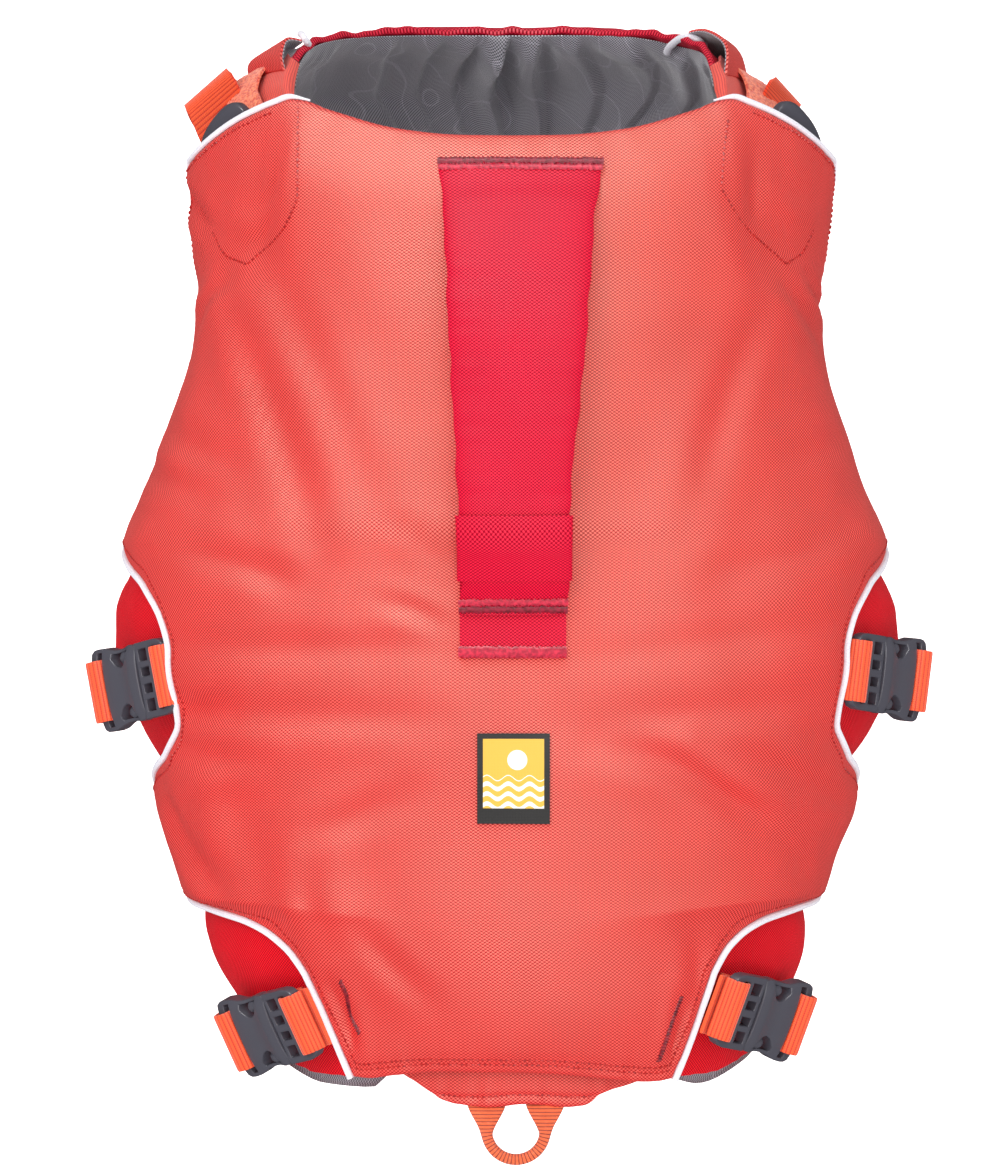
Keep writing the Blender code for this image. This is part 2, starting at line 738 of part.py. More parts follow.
def buckle_frame(y, turn, twist, lift):
    """Origin, direction along the strap, across it and out of the surface, at a place on the trunk."""
    side = 1 if turn > 0 else -1
    here = trunk(y, turn)
    up = (trunk(y, turn, 0.001) - here).normalized()
    down = (trunk(y, turn + 0.02 * side) - here).normalized()
    rear = up.cross(down).normalized() * side
    if rear.y > 0:
        rear = -rear
    along = (down * math.cos(twist) + rear * math.sin(twist)).normalized()
    across = up.cross(along).normalized()
    return here + up * lift, along, across, up


def side_buckle(name):
    """A side-release buckle on its two straps, fastened, with the straps' folds round its bars."""
    y, turn, twist, start = BUCKLES[name]
    sign = SIDES[name.split("_")[1]]
    turn = math.radians(turn) * sign
    origin, along, across, up = buckle_frame(y, turn, math.radians(twist), BUCKLE_LIFT)
    body_origin = origin - along * 0.004
    slotted(
        f"buckle_body_{name}",
        (-BODY_W / 2, -SLOT_W / 2, SLOT_W / 2, BODY_W / 2),
        (0, 0.006, 0.0155, BODY_L - 0.009, BODY_L - 0.0042, BODY_L),
        {(1, 0), (1, 2), (3, 1)},
        BODY_T, (body_origin, along, across, up), "grey acetal",
    )
    frame_origin = body_origin - along * (FRAME_L + GAP) + up * 0.0018
    slotted(
        f"buckle_insert_{name}",
        (-FRAME_W / 2, -SLOT_W / 2, SLOT_W / 2, FRAME_W / 2),
        (0, 0.0034, 0.0078, 0.0112, 0.0156, FRAME_L),
        {(1, 1), (3, 1)},
        FRAME_T, (frame_origin, along, across, up), "grey acetal",
    )

    def at(length, height):
        """A place in the buckle's own plane: length along the strap and height above its underside."""
        return origin + along * length + up * height

    def run(degrees, height):
        """A place where the strap lies on the jacket, moved into the strap's plane."""
        place, here = None, y
        for _ in range(6):
            place = trunk(here, math.radians(degrees) * sign, height)
            here -= (place - origin).dot(across) / across.y
        return place

    half = WEB_T / 2
    low = frame_origin - origin
    bar = low.dot(along)
    under = 0.0018 - GAP - half
    over = 0.0018 + FRAME_T + GAP + half
    upper = [run(d, 0.0006 + half) for d in np.linspace(start, start + 5, 4)]
    upper += [at(bar - 0.004, under), at(bar + 0.0038, under), at(bar + 0.0056, 0.0024)]
    upper += [at(bar + 0.0056, over - 0.0012), at(bar + 0.0040, over + 0.0004)]
    upper += [at(bar - 0.0010, over + 0.0004), at(bar - 0.0034, over - 0.0020)]
    upper += [at(bar - 0.0075, over - 0.0042)]
    webbing(f"strap_upper_{name}", upper, across, WEB_W, WEB_T)
    end = -0.004 + BODY_L
    slot = end - 0.0066
    lower = [at(end - 0.020, -GAP - half), at(slot - 0.0010, -GAP - half), at(slot, 0.0012)]
    lower += [at(slot, BODY_T - 0.0006), at(slot + 0.0014, BODY_T + 0.0016)]
    lower += [at(end, BODY_T + 0.0016), at(end + 0.0017, BODY_T - 0.0004)]
    lower += [at(end + 0.0018, 0.0030), at(end + 0.0022, 0.0)]
    base = math.degrees(abs(turn)) + math.degrees((end + 0.004) / smooth(FORM, y, 1))
    lower += [run(base + d, 0.0010 + half) for d in np.linspace(3, 20, 6)]
    webbing(f"strap_lower_{name}", lower, across, WEB_W, WEB_T)


def shoulder_band(side):
    """The ribbed band from a sleeve to the underside of the back panel, and the pile patch on it."""
    sign = SIDES[side]
    _, rear, stand = SLEEVE[side]
    start = rear - 0.05
    cols, rows, on_tongue = 6, 4, 3
    lift = CHEST_EDGE + stand * math.sin(math.pi * SLEEVE_REACH) - BAND_WALL - GAP

    def middle(part, v, out):
        """A point of the band: part 0 under the sleeve, 1 against the back panel's lining."""
        if part <= on_tongue / cols:
            u = start + (1.0 - start) * part * cols / on_tongue
            return chest(sign * u, v, lift + out)
        tongue = chest(sign, v, lift + out)
        turn = math.radians(42 + 40 * v) * sign
        panel = trunk(0.1800 - 0.020 * v, turn, -4 * GAP - BAND_WALL + out)
        t = (part * cols - on_tongue) / (cols - on_tongue)
        return tongue.lerp(panel, t)

    wall(
        f"shoulder_band_{side}", rows, cols,
        lambda i, j: middle(j / cols, BAND_V * i / rows, BAND_WALL),
        lambda i, j: middle(j / cols, BAND_V * i / rows, 0.0),
        "coral webbing",
    )
    above = BAND_WALL + 2 * GAP

    def pile(i, j, out):
        return middle(0.34 + 0.30 * j / 4, 0.130 + 0.185 * i / 3, above + out)

    wall(
        f"pile_patch_{side}", 3, 4,
        lambda i, j: pile(i, j, PILE_WALL), lambda i, j: pile(i, j, 0.0), "loop pile",
    )


def neck_buckle(side):
    """The neck buckle under the shoulder flap, lying along its edge and bent to the shoulder."""
    sign = SIDES[side]
    y, turn = CLOSURE[side]
    turn = math.radians(turn)
    round_body = (trunk(y, turn + 0.01) - trunk(y, turn - 0.01)).length / 0.02
    back = CLOSURE_SLOPE
    down = math.sqrt(1 - back * back)

    def place(length, front, out):
        """A point at a length down the flap's edge and so far in front of the buckle's middle."""
        angle = turn + (down * length + back * front) / round_body
        return trunk(y - back * length + down * front, angle * sign, out)

    half_l, half_w, thick, taper = CLOSURE_BUCKLE
    bm = bmesh.new()
    bmesh.ops.create_circle(bm, cap_ends=True, segments=24, radius=1.0)
    for v in bm.verts:
        for axis in (0, 1):
            v.co[axis] = math.copysign(abs(v.co[axis]) ** 0.7, v.co[axis])
    made = bmesh.ops.extrude_face_region(bm, geom=bm.faces[:], use_keep_orig=True)
    top = [g for g in made["geom"] if isinstance(g, bmesh.types.BMVert)]
    bmesh.ops.translate(bm, verts=top, vec=(0, 0, 1))
    for v in bm.verts:
        wide = taper + (1 - taper) * v.co.z
        down_edge, in_front = v.co.x * half_l * wide, v.co.y * half_w * wide
        v.co = place(down_edge, in_front, -CLOSURE_DEPTH - thick * (1 - v.co.z))
    add(f"neck_buckle_{side}", bm, "grey acetal")


def neck_strap(side):
    """The orange strap that comes off the pile patch and goes round the shoulder below the buckle."""
    rungs = [(Vector(r[:3]), Vector(r[3:])) for r in NECK_STRAPS[side]]
    rows, cols = 2 * (len(rungs) - 1), 4

    def middle(part, width):
        k = min(int(part), len(rungs) - 2)
        front = rungs[k][0].lerp(rungs[k + 1][0], part - k)
        rear = rungs[k][1].lerp(rungs[k + 1][1], part - k)
        return front.lerp(rear, width)

    def face(i, j, out):
        part, width = i / 2, j / cols
        ahead = middle(min(part + 0.3, len(rungs) - 1), width) - middle(max(part - 0.3, 0), width)
        across = middle(part, 1.0) - middle(part, 0.0)
        normal = ahead.cross(across).normalized() * SIDES[side]
        return middle(part, width) + normal * out

    wall(
        f"neck_strap_{side}", rows, cols,
        lambda i, j: face(i, j, WEB_T / 2), lambda i, j: face(i, j, -WEB_T / 2), "orange webbing",
    )


def handle_row(y):
    """Left edge, right edge, lift and wall of the handle at y."""
    return tuple(smooth(HANDLE, y, c) for c in range(1, 5))


def handle():
    """The crimson grab handle, its wrap and the flat piece that its lower end is sewn to."""
    y0, y1 = HANDLE[0][0], HANDLE[-1][0]

    def face(i, j, top):
        y = y0 + (y1 - y0) * i / HANDLE_ROWS
        left, right, lift, thick = handle_row(y)
        part = j / HANDLE_COLS
        x = left + (right - left) * part
        round_off = 1 - 0.45 * (2 * part - 1) ** 4
        return back_top(x, y, lift + (thick * round_off if top else 0.0))

    wall(
        "handle", HANDLE_ROWS, HANDLE_COLS,
        lambda i, j: face(i, j, True), lambda i, j: face(i, j, False), "crimson cloth",
    )
    wrap()

    def base(i, j, out):
        y = BASE_Y[0] + (BASE_Y[1] - BASE_Y[0]) * i / 5
        x = BASE_HALF * (2 * j / 4 - 1) + 0.0004
        return back_top(x, y, GAP + out)

    wall(
        "handle_base", 5, 4,
        lambda i, j: base(i, j, BASE_WALL), lambda i, j: base(i, j, 0.0), "crimson cloth",
    )


def wrap():
    """The sleeve that wraps round the lower end of the handle."""
    rows, around = 3, 14

    def ring(y, grow):
        """Points round the handle's section at y, moved out by grow."""
        left, right, lift, thick = handle_row(y)
        middle, half = (left + right) / 2, (right - left) / 2
        points = []
        for k in range(around):
            angle = 2 * math.pi * k / around
            c, s = math.cos(angle), math.sin(angle)
            flat = abs(c) ** 0.45 * (1 if c > 0 else -1)
            tall = abs(s) ** 0.55 * (1 if s > 0 else -1)
            height = lift + thick / 2 + tall * (thick / 2 + grow)
            points.append(back_top(middle + flat * (half + grow), y, height))
        return points

    bm = bmesh.new()
    shells = []
    for grow in (WRAP_CLEAR, WRAP_CLEAR + WRAP_WALL):
        levels = [WRAP_Y[0] + (WRAP_Y[1] - WRAP_Y[0]) * k / rows for k in range(rows + 1)]
        shells.append([[bm.verts.new(p) for p in ring(y, grow)] for y in levels])
    for shell in shells:
        for low, high in zip(shell, shell[1:]):
            for k in range(around):
                n = (k + 1) % around
                bm.faces.new((low[k], low[n], high[n], high[k]))
    for end in (0, -1):
        for k in range(around):
            n = (k + 1) % around
            bm.faces.new((shells[0][end][k], shells[0][end][n], shells[1][end][n], shells[1][end][k]))
    add("handle_wrap", bm, "crimson cloth")


def patch():
    """The small woven patch behind the handle."""
    x0, y0, width, height, thick = PATCH

    def face(i, j, out):
        return back_top(x0 + width * (j / 4 - 0.5), y0 + height * (i / 4 - 0.5), GAP + out)

    wall("patch", 4, 4, lambda i, j: face(i, j, thick), lambda i, j: face(i, j, 0.0), "patch")


def tail():
    """The tab under the hem and the round leash loop sewn into it."""
    start, end, wide, narrow, thick = TAB

    def face(i, j, out):
        part = i / 4
        y = start + (end - start) * part
        half = wide + (narrow - wide) * step_up(part, 0.6, 1.0)
        turn = math.asin(half * (2 * j / 8 - 1) / smooth(FORM, y, 1))
        return trunk(y, turn, out)

    wall(
        "tail_tab", 4, 8,
        lambda i, j: face(i, j, -2 * GAP), lambda i, j: face(i, j, -2 * GAP - thick), "coral cloth",
    )
    leash_loop()


def leash_loop():
    """Webbing folded to a round cord, with two flat feet under the tab."""
    low = trunk(TAB[1], 0.0).z - 3 * GAP - TAB[4] - 0.0021
    path = []
    for k in range(5):
        path.append((LOOP_X - LOOP_R, LOOP_FOOT_Y + (LOOP_TURN_Y - LOOP_FOOT_Y) * k / 5))
    for k in range(13):
        angle = math.pi * k / 12
        path.append((LOOP_X - LOOP_R * math.cos(angle), LOOP_TURN_Y - LOOP_R * math.sin(angle)))
    path += [(2 * LOOP_X - x, y) for x, y in reversed(path[:5])]
    bm = bmesh.new()
    rings = []
    for k, (x, y) in enumerate(path):
        ahead = Vector(path[min(k + 1, len(path) - 1)])
        behind = Vector(path[max(k - 1, 0)])
        along = (ahead - behind).normalized()
        side = Vector((along.y, -along.x))
        flat = 1 - step_up(-y, -LOOP_FOOT_Y + 0.006, -LOOP_TURN_Y + 0.003)
        wide = LOOP_CORD + (0.0080 - LOOP_CORD) * flat
        tall = LOOP_CORD + (0.0011 - LOOP_CORD) * flat
        ring = []
        for n in range(8):
            angle = 2 * math.pi * (n + 0.5) / 8
            out = side * (wide * math.cos(angle))
            ring.append(bm.verts.new((x + out.x, y + out.y, low + tall * math.sin(angle))))
        rings.append(ring)
    bm.faces.new(rings[0])
    bm.faces.new(rings[-1])
    for first, second in zip(rings, rings[1:]):
        for n in range(8):
            bm.faces.new((first[n], first[(n + 1) % 8], second[(n + 1) % 8], second[n]))
    add("leash_loop", bm, "orange webbing")


def main():
    for obj in list(bpy.data.objects):
        bpy.data.objects.remove(obj, do_unlink=True)
    back_panel()
    back_lining()
    belly_panel()
    chest_panel()
    chest_lining()
    pipings()
    for side in SIDES:
        sleeve(side)
        shoulder_band(side)
        neck_buckle(side)
        neck_strap(side)
    for name in BUCKLES:
        side_buckle(name)
    handle()
    patch()
    tail()


main()
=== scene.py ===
# %% [markdown]
# # A dog's life jacket, sewn piece by piece
# The jacket is foam panels in woven nylon, worn filled out, with webbing, moulded buckles and a grab
# handle. Each cloth piece here is a grid that a formula bends round the dog's body, which is how a
# pattern cutter thinks: a flat piece first, then the form that it goes round.

# %% Load the fixed frame
import math

import bmesh
import bpy
import numpy as np
from mathutils import Matrix, Vector


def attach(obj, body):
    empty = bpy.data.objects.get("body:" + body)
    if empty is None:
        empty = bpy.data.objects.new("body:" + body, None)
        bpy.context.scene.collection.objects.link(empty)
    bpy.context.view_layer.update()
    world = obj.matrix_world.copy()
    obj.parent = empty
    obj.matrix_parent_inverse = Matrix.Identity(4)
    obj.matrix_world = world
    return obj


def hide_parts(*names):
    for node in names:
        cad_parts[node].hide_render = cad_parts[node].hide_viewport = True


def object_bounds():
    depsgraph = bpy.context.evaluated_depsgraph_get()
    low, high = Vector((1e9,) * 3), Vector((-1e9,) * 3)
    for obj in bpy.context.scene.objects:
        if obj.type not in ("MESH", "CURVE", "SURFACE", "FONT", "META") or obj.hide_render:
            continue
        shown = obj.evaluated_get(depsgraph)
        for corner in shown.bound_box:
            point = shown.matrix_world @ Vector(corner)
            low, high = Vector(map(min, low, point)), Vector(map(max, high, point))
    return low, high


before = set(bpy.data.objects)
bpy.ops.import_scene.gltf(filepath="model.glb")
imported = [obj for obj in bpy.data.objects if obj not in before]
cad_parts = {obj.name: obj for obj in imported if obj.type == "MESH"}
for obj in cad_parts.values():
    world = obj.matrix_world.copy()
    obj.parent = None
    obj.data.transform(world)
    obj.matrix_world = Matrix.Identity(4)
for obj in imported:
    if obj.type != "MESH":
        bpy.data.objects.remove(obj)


def plain_box(bounds):
    """A box as two plain lists of numbers."""
    return [[float(c) for c in corner] for corner in bounds]


cad_box = plain_box(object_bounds())
print("CAD box", cad_box)

# %% [markdown]
# ## Camera and light
# The camera looks straight down from 3.7 m, as a copy stand does, so its lens is long and the sides
# hardly show. A soft box at the upper left gives the colour its form, another one nearly overhead
# only puts a sheen on the cloth, a weak one at the tail looks into the neck, and the floor is a light
# table, which keeps the ground white.

# %% Camera, lights and floor
IMAGE = (1000, 1168)
PIXEL = 0.0004  # metres a pixel at height 0
EYE = 3.7
ASIDE = -0.0048

SRGB_LINEAR_END = 0.04045


def rgb(code):
    """Linear RGB and alpha 1 from an sRGB hex code."""
    parts = [int(code[k:k + 2], 16) / 255 for k in (1, 3, 5)]
    linear = [c / 12.92 if c <= SRGB_LINEAR_END else ((c + 0.055) / 1.055) ** 2.4 for c in parts]
    return (*linear, 1.0)


def node(tree, kind, settings=None, sockets=None):
    """Adds a node with its settings, and fills its sockets with numbers or with other nodes' outputs."""
    made = tree.nodes.new(kind)
    for key, value in (settings or {}).items():
        setattr(made, key, value)
    for key, value in (sockets or {}).items():
        if isinstance(value, bpy.types.NodeSocket):
            tree.links.new(value, made.inputs[key])
        else:
            made.inputs[key].default_value = value
    return made


def link_object(name, data):
    """Puts new data into the scene as an object at the origin."""
    made = bpy.data.objects.new(name, data)
    bpy.context.scene.collection.objects.link(made)
    return made


camera = link_object("camera", bpy.data.cameras.new("camera"))
camera.data.sensor_width = 36.0
camera.data.lens = 36.0 * EYE / (max(IMAGE) * PIXEL)
camera.data.clip_end = 30.0
camera.location = (ASIDE, 0.0, EYE)
bpy.context.scene.camera = camera

LIGHTS = (
    # name        place                 size  watts  lights the colour, lights the sheen
    ("key_box", (-1.05, 0.75, 2.05), 0.9, 14.0, True, False),
    ("sheen_box", (0.40, 0.80, 2.35), 2.2, 58.0, False, True),
    ("neck_box", (-0.40, 1.80, 1.20), 1.0, 66.0, False, True),
    ("tail_box", (0.30, -1.00, 2.20), 0.5, 10.0, True, True),
)
for light_name, place, size, watts, colours, shines in LIGHTS:
    light = bpy.data.lights.new(light_name, "AREA")
    light.shape = "DISK"
    light.size = size
    light.energy = watts
    lamp = link_object(light_name, light)
    lamp.location = place
    lamp.rotation_euler = (-Vector(place)).to_track_quat("-Z", "Y").to_euler()
    lamp.visible_camera = False
    lamp.visible_diffuse = colours
    lamp.visible_glossy = shines

world = bpy.data.worlds.new("studio")
world.use_nodes = True
tent = world.node_tree
TENT, TENT_SHEEN = 1.08, 0.05  # the white tent's light, and how much of it a cross-polarised gloss keeps
path = node(tent, "ShaderNodeLightPath")
sheen_part = node(tent, "ShaderNodeMapRange", {}, {
    "Value": path.outputs["Is Glossy Ray"], "To Min": TENT, "To Max": TENT_SHEEN})
seen_part = node(tent, "ShaderNodeMath", {"operation": "MAXIMUM"}, {
    0: sheen_part.outputs[0], 1: path.outputs["Is Camera Ray"]})
tent.nodes["Background"].inputs["Color"].default_value = (1.0, 1.0, 1.0, 1.0)
tent.links.new(seen_part.outputs[0], tent.nodes["Background"].inputs["Strength"])
bpy.context.scene.world = world
bpy.context.scene.view_settings.view_transform = "Standard"

FLOOR_DROP = 0.004
floor_bm = bmesh.new()
bmesh.ops.create_grid(floor_bm, x_segments=1, y_segments=1, size=40.0)
bmesh.ops.translate(floor_bm, verts=floor_bm.verts, vec=(0, 0, cad_box[0][2] - FLOOR_DROP))
floor_mesh = bpy.data.meshes.new("light_table")
floor_bm.to_mesh(floor_mesh)
floor_bm.free()
table_top = bpy.data.materials.new("opal acrylic light table")
table_top.use_nodes = True
table_shader = table_top.node_tree.nodes["Principled BSDF"]
table_shader.inputs["Base Color"].default_value = rgb("#f4f4f4")
table_shader.inputs["Roughness"].default_value = 0.9
table_shader.inputs["Emission Color"].default_value = (1.0, 1.0, 1.0, 1.0)
table_shader.inputs["Emission Strength"].default_value = 1.0
floor_mesh.materials.append(table_top)
light_table = link_object("light_table", floor_mesh)
light_table.visible_diffuse = False
light_table.visible_glossy = False
print("camera lens", round(camera.data.lens, 1), "mm")

# %% [markdown]
# ## The forms that the cloth goes round
# A pattern cutter drapes cloth on a dress form. The trunk form is a row of sections across the spine
# with smooth curves through them, and the breast form runs from the throat down between the forelegs.
# NumPy works on every point of a grid at once, so even a fine grid is quick.

# %% Trunk form
FORM = (
    # y       half    top     side    bottom   shift
    (-0.212, 0.0840, -0.021, -0.082, -0.186, 0.0005),
    (-0.192, 0.0995, -0.017, -0.085, -0.194, 0.0005),
    (-0.172, 0.1125, -0.014, -0.089, -0.203, 0.0000),
    (-0.149, 0.1235, -0.011, -0.092, -0.212, -0.0015),
    (-0.138, 0.1250, -0.010, -0.094, -0.217, -0.0025),
    (-0.126, 0.1240, -0.009, -0.095, -0.221, -0.0032),
    (-0.088, 0.1340, -0.006, -0.099, -0.232, -0.0028),
    (-0.060, 0.1510, -0.004, -0.102, -0.238, -0.0018),
    (-0.030, 0.1630, -0.002, -0.104, -0.243, -0.0018),
    (-0.012, 0.1625, -0.001, -0.104, -0.245, -0.0020),
    (0.012, 0.1515, 0.000, -0.103, -0.246, -0.0026),
    (0.024, 0.1435, 0.001, -0.102, -0.246, -0.0030),
    (0.054, 0.1310, 0.001, -0.101, -0.246, -0.0026),
    (0.094, 0.1205, 0.000, -0.099, -0.242, -0.0018),
    (0.116, 0.1190, -0.001, -0.098, -0.238, -0.0012),
    (0.137, 0.1230, -0.003, -0.097, -0.234, -0.0006),
    (0.170, 0.1278, -0.007, -0.095, -0.222, 0.0000),
    (0.208, 0.1320, -0.014, -0.092, -0.200, 0.0000),
)
BOX = 0.05
SIDES = {"left": -1, "right": 1}
GAP = 0.0003


def curve(table, at, column=1):
    """The value of a column at each place, on a smooth curve through the table's rows."""
    xs = np.array([row[0] for row in table])
    ys = np.array([row[column] for row in table])
    at = np.clip(np.asarray(at, dtype=float), xs[0], xs[-1])
    steps = np.diff(xs)
    slopes = np.diff(ys) / steps
    before, after = slopes[:-1], slopes[1:]
    bends = before * after > 0
    total = np.where(bends, before + after, 1.0)
    tangents = np.concatenate(
        ([slopes[0]], np.where(bends, 2 * before * after / total, 0.0), [slopes[-1]])
    )
    i = np.clip(np.searchsorted(xs, at) - 1, 0, len(xs) - 2)
    t = (at - xs[i]) / steps[i]
    start = ys[i] * (1 + 2 * t) * (1 - t) ** 2 + steps[i] * tangents[i] * t * (1 - t) ** 2
    end = ys[i + 1] * t * t * (3 - 2 * t) + steps[i] * tangents[i + 1] * t * t * (t - 1)
    return start + end


def ramp(distance, width):
    """0 at an edge, rising fast and levelling off at 1, as foam does beside a seam."""
    part = np.clip(distance / width, 0.0, 1.0)
    return 1 - (1 - part) ** 2


def rise(value, start, end):
    """0 before start, 1 after end and an S-curve between them."""
    part = np.clip((value - start) / (end - start), 0.0, 1.0)
    return part * part * (3 - 2 * part)


def unit(vectors):
    """Vectors of length one."""
    return vectors / np.maximum(np.linalg.norm(vectors, axis=-1, keepdims=True), 1e-12)


def section(y, turn):
    """Points of the trunk form's sections."""
    half, top, side, bottom, shift = (curve(FORM, y, c) for c in range(1, 6))
    s, c = np.sin(turn), np.cos(turn)
    height = np.where(c > 0, top - side, side - bottom)
    x = shift + half * s * (1 + BOX * c * c)
    return np.stack((x, y + 0 * x, side + height * c * (1 + BOX * s * s)), axis=-1)


def trunk(y, turn, out=0.0):
    """Points so far out from the trunk form; turn is the angle from the spine, negative on the left."""
    y, turn, out = np.broadcast_arrays(*(np.asarray(a, dtype=float) for a in (y, turn, out)))
    across = section(y, turn + 0.01) - section(y, turn - 0.01)
    along = section(y + 0.002, turn) - section(y - 0.002, turn)
    return section(y, turn) + unit(np.cross(across, along)) * out[..., None]


# %% [markdown]
# ## The back panel's cut
# The panel has a curved neckline, shoulder flaps and two scallops a side, where the belly panel shows.
# Its side edge is a table of angles round the body, so one table holds the whole outline.

# %% Outline of the back panel
NECKLINE = (
    # x      y
    (0.0000, 0.1790),
    (0.0200, 0.1793),
    (0.0450, 0.1820),
    (0.0740, 0.1905),
    (0.0865, 0.1950),
    (0.0955, 0.1925),
    (0.1090, 0.1870),
    (0.1220, 0.1790),
    (0.1320, 0.1705),
)
FLAP_TURN = 80.0
FRONT_Y = 0.1735
HEM_Y = -0.1985
NECK_FADE_Y = 0.060
SIDE_EDGE = (
    # y       degrees from the spine
    (-0.200, 39.0),
    (-0.177, 38.5),
    (-0.157, 39.0),
    (-0.148, 41.0),
    (-0.1400, 45.5),
    (-0.1350, 52.0),
    (-0.1310, 65.0),
    (-0.1275, 82.0),
    (-0.122, 90.0),
    (-0.112, 93.0),
    (-0.092, 93.0),
    (-0.083, 89.0),
    (-0.0755, 78.0),
    (-0.068, 65.0),
    (-0.055, 55.5),
    (-0.040, 53.3),
    (-0.028, 53.0),
    (-0.013, 55.2),
    (-0.001, 62.5),
    (0.008, 76.0),
    (0.015, 88.0),
    (0.024, 94.0),
    (0.054, 95.0),
    (0.094, 93.0),
    (0.134, 90.0),
    (0.158, 86.0),
    (0.174, 80.0),
)
LINING = 0.0012
PAD_INNER = 0.0025
PAD_EDGE = 0.0036
PAD_FULL = 0.0125
PAD_FLAP = 0.0045
PAD_ROLL = 0.032
PAD_SIDE = 0.085
FLAP_ZONE = (0.080, 0.098, 0.112, 0.140)


def neck_line():
    """The front edge: s, from the spine to the flap's corner, and its y there."""
    share = np.linspace(0, 1, 25)
    y = np.full(25, NECKLINE[0][1])
    for _ in range(12):
        y = curve(NECKLINE, np.abs(trunk(y, np.radians(FLAP_TURN) * share, PAD_EDGE)[:, 0]))
    return list(zip(share, y))


NECK = neck_line()


HEM_WAVE = (
    # s      how far the hem swings forward
    (-1.00, 0.0014),
    (-0.88, 0.0008),
    (-0.72, 0.0018),
    (-0.42, 0.0032),
    (0.00, 0.0030),
    (0.20, 0.0026),
    (0.65, -0.0002),
    (0.82, -0.0008),
    (1.00, 0.0006),
)
HEM_REACH = 0.040


def forward(base, s):
    """How far a row is swung forward at s, to follow the neckline and the uneven hem."""
    neck = (curve(NECK, np.abs(s)) - FRONT_Y) * rise(base, NECK_FADE_Y, FRONT_Y)
    return neck + curve(HEM_WAVE, s) * (1 - rise(base, HEM_Y, HEM_Y + HEM_REACH))


def back_place(base, s):
    """The y and the angle round the body of a row of the back panel, at s from -1 to 1."""
    return base + forward(base, s), s * np.radians(curve(SIDE_EDGE, base))


def back_share(y, turn):
    """The row and s of a place at y and this angle round the body."""
    base = np.array(y, dtype=float)
    s = np.zeros_like(base)
    for _ in range(6):
        s = np.clip(turn / np.radians(curve(SIDE_EDGE, base)), -1.0, 1.0)
        base = y - forward(base, s)
    return base, s


def to_edges(base, s):
    """Distances to the side edge, to the neckline and to the hem."""
    y, _ = back_place(base, s)
    side = (1 - np.abs(s)) * np.radians(curve(SIDE_EDGE, base)) * curve(FORM, y)
    return side, curve(NECK, np.abs(s)) - y, y - HEM_Y - curve(HEM_WAVE, s)


# %% [markdown]
# ## Folds and puckers
# Padded cloth creases where the foam blocks meet and where the body bends it, and it puckers along
# every seam, because the thread draws it in. Each crease is a line on the cloth with a depth and a
# width: a valley with a soft lip on both sides. Long soft waves keep the rest from looking machined.

# %% Creases of the back panel
CREASES = (
    # points in millimetres seen from above, depth and width in millimetres
    (((-106, 128), (-84, 70), (-72, 33), (-67, 8)), 1.5, 7.0),
    (((-85, 128), (-62, 75), (-45, 25)), 0.7, 6.0),
    (((92, 118), (78, 70), (67, 20)), 1.3, 7.0),
    (((-130, -22), (-90, -25), (-25, -25)), 0.8, 5.0),
    (((25, -29), (80, -22), (131, -15)), 0.6, 5.0),
    (((-131, -47), (-95, -50), (-25, -53)), 1.1, 6.0),
    (((-133, -47), (-120, -49), (-104, -47)), 1.6, 5.0),
    (((23, -55), (80, -49), (131, -39)), 0.9, 6.0),
    (((31, -63), (55, -68), (83, -86), (107, -110)), 2.0, 6.0),
    (((74, -61), (104, -72), (128, -84)), 1.4, 5.0),
    (((-70, -99), (-52, -92), (-36, -82)), 1.4, 6.0),
    (((-130, -78), (-118, -100), (-104, -124)), 2.0, 7.0),
    (((-69, -104), (-70, -122), (-66, -140)), 1.4, 6.0),
    (((-46, -6), (-34, -10), (-22, -17)), 1.0, 3.5),
    (((-41, 26), (-32, 20), (-25, 9)), 0.7, 3.5),
    (((-125, 62), (-112, 52), (-100, 46)), 1.3, 6.0),
    (((-133, 42), (-120, 36), (-108, 33)), 1.2, 5.0),
    (((-125, 10), (-98, 6), (-72, -2)), 1.3, 6.0),
    (((125, 58), (112, 50), (98, 47)), 1.0, 6.0),
    (((130, 18), (105, 8), (80, 6)), 1.0, 6.0),
    (((-53, -138), (-42, -152), (-29, -166)), 1.0, 5.0),
    (((67, -138), (71, -152), (70, -168)), 1.4, 5.0),
    (((-66, -158), (-62, -172), (-60, -192)), 1.6, 3.5),
    (((64, -164), (62, -176), (59, -194)), 1.6, 3.5),
    (((-128, -60), (-112, -66), (-90, -68)), 1.2, 5.0),
    (((-104, 124), (-112, 110), (-118, 96)), 1.3, 5.0),
    (((96, 128), (106, 112), (114, 100)), 1.5, 5.0),
    (((88, 146), (92, 158), (90, 178)), 1.0, 4.0),
    (((110, 126), (116, 116), (122, 108)), 1.3, 3.5),
    (((-128, 164), (-121, 152), (-112, 142)), 2.0, 5.0),
    (((-84, 176), (-88, 158), (-97, 150)), 1.0, 3.0),
    (((-108, 152), (-101, 145), (-92, 152)), -0.9, 4.0),
    (((88, 172), (88, 160), (93, 148)), 1.6, 4.0),
    (((78, 172), (82, 150), (91, 128)), 1.3, 6.0),
    (((98, 160), (106, 152), (116, 150)), -0.8, 4.0),
    (((-74, -92), (-72, -118), (-66, -150)), -2.2, 14.0),
    (((-112, -74), (-104, -96), (-92, -120)), -1.4, 8.0),
    (((-60, 150), (-58, 60), (-56, -10)), -0.7, 16.0),
    (((70, 60), (66, 10), (58, -20)), -0.8, 14.0),
)
CREASE_GAIN = 1.5
WAVES = 16
WAVE_SEED = 11


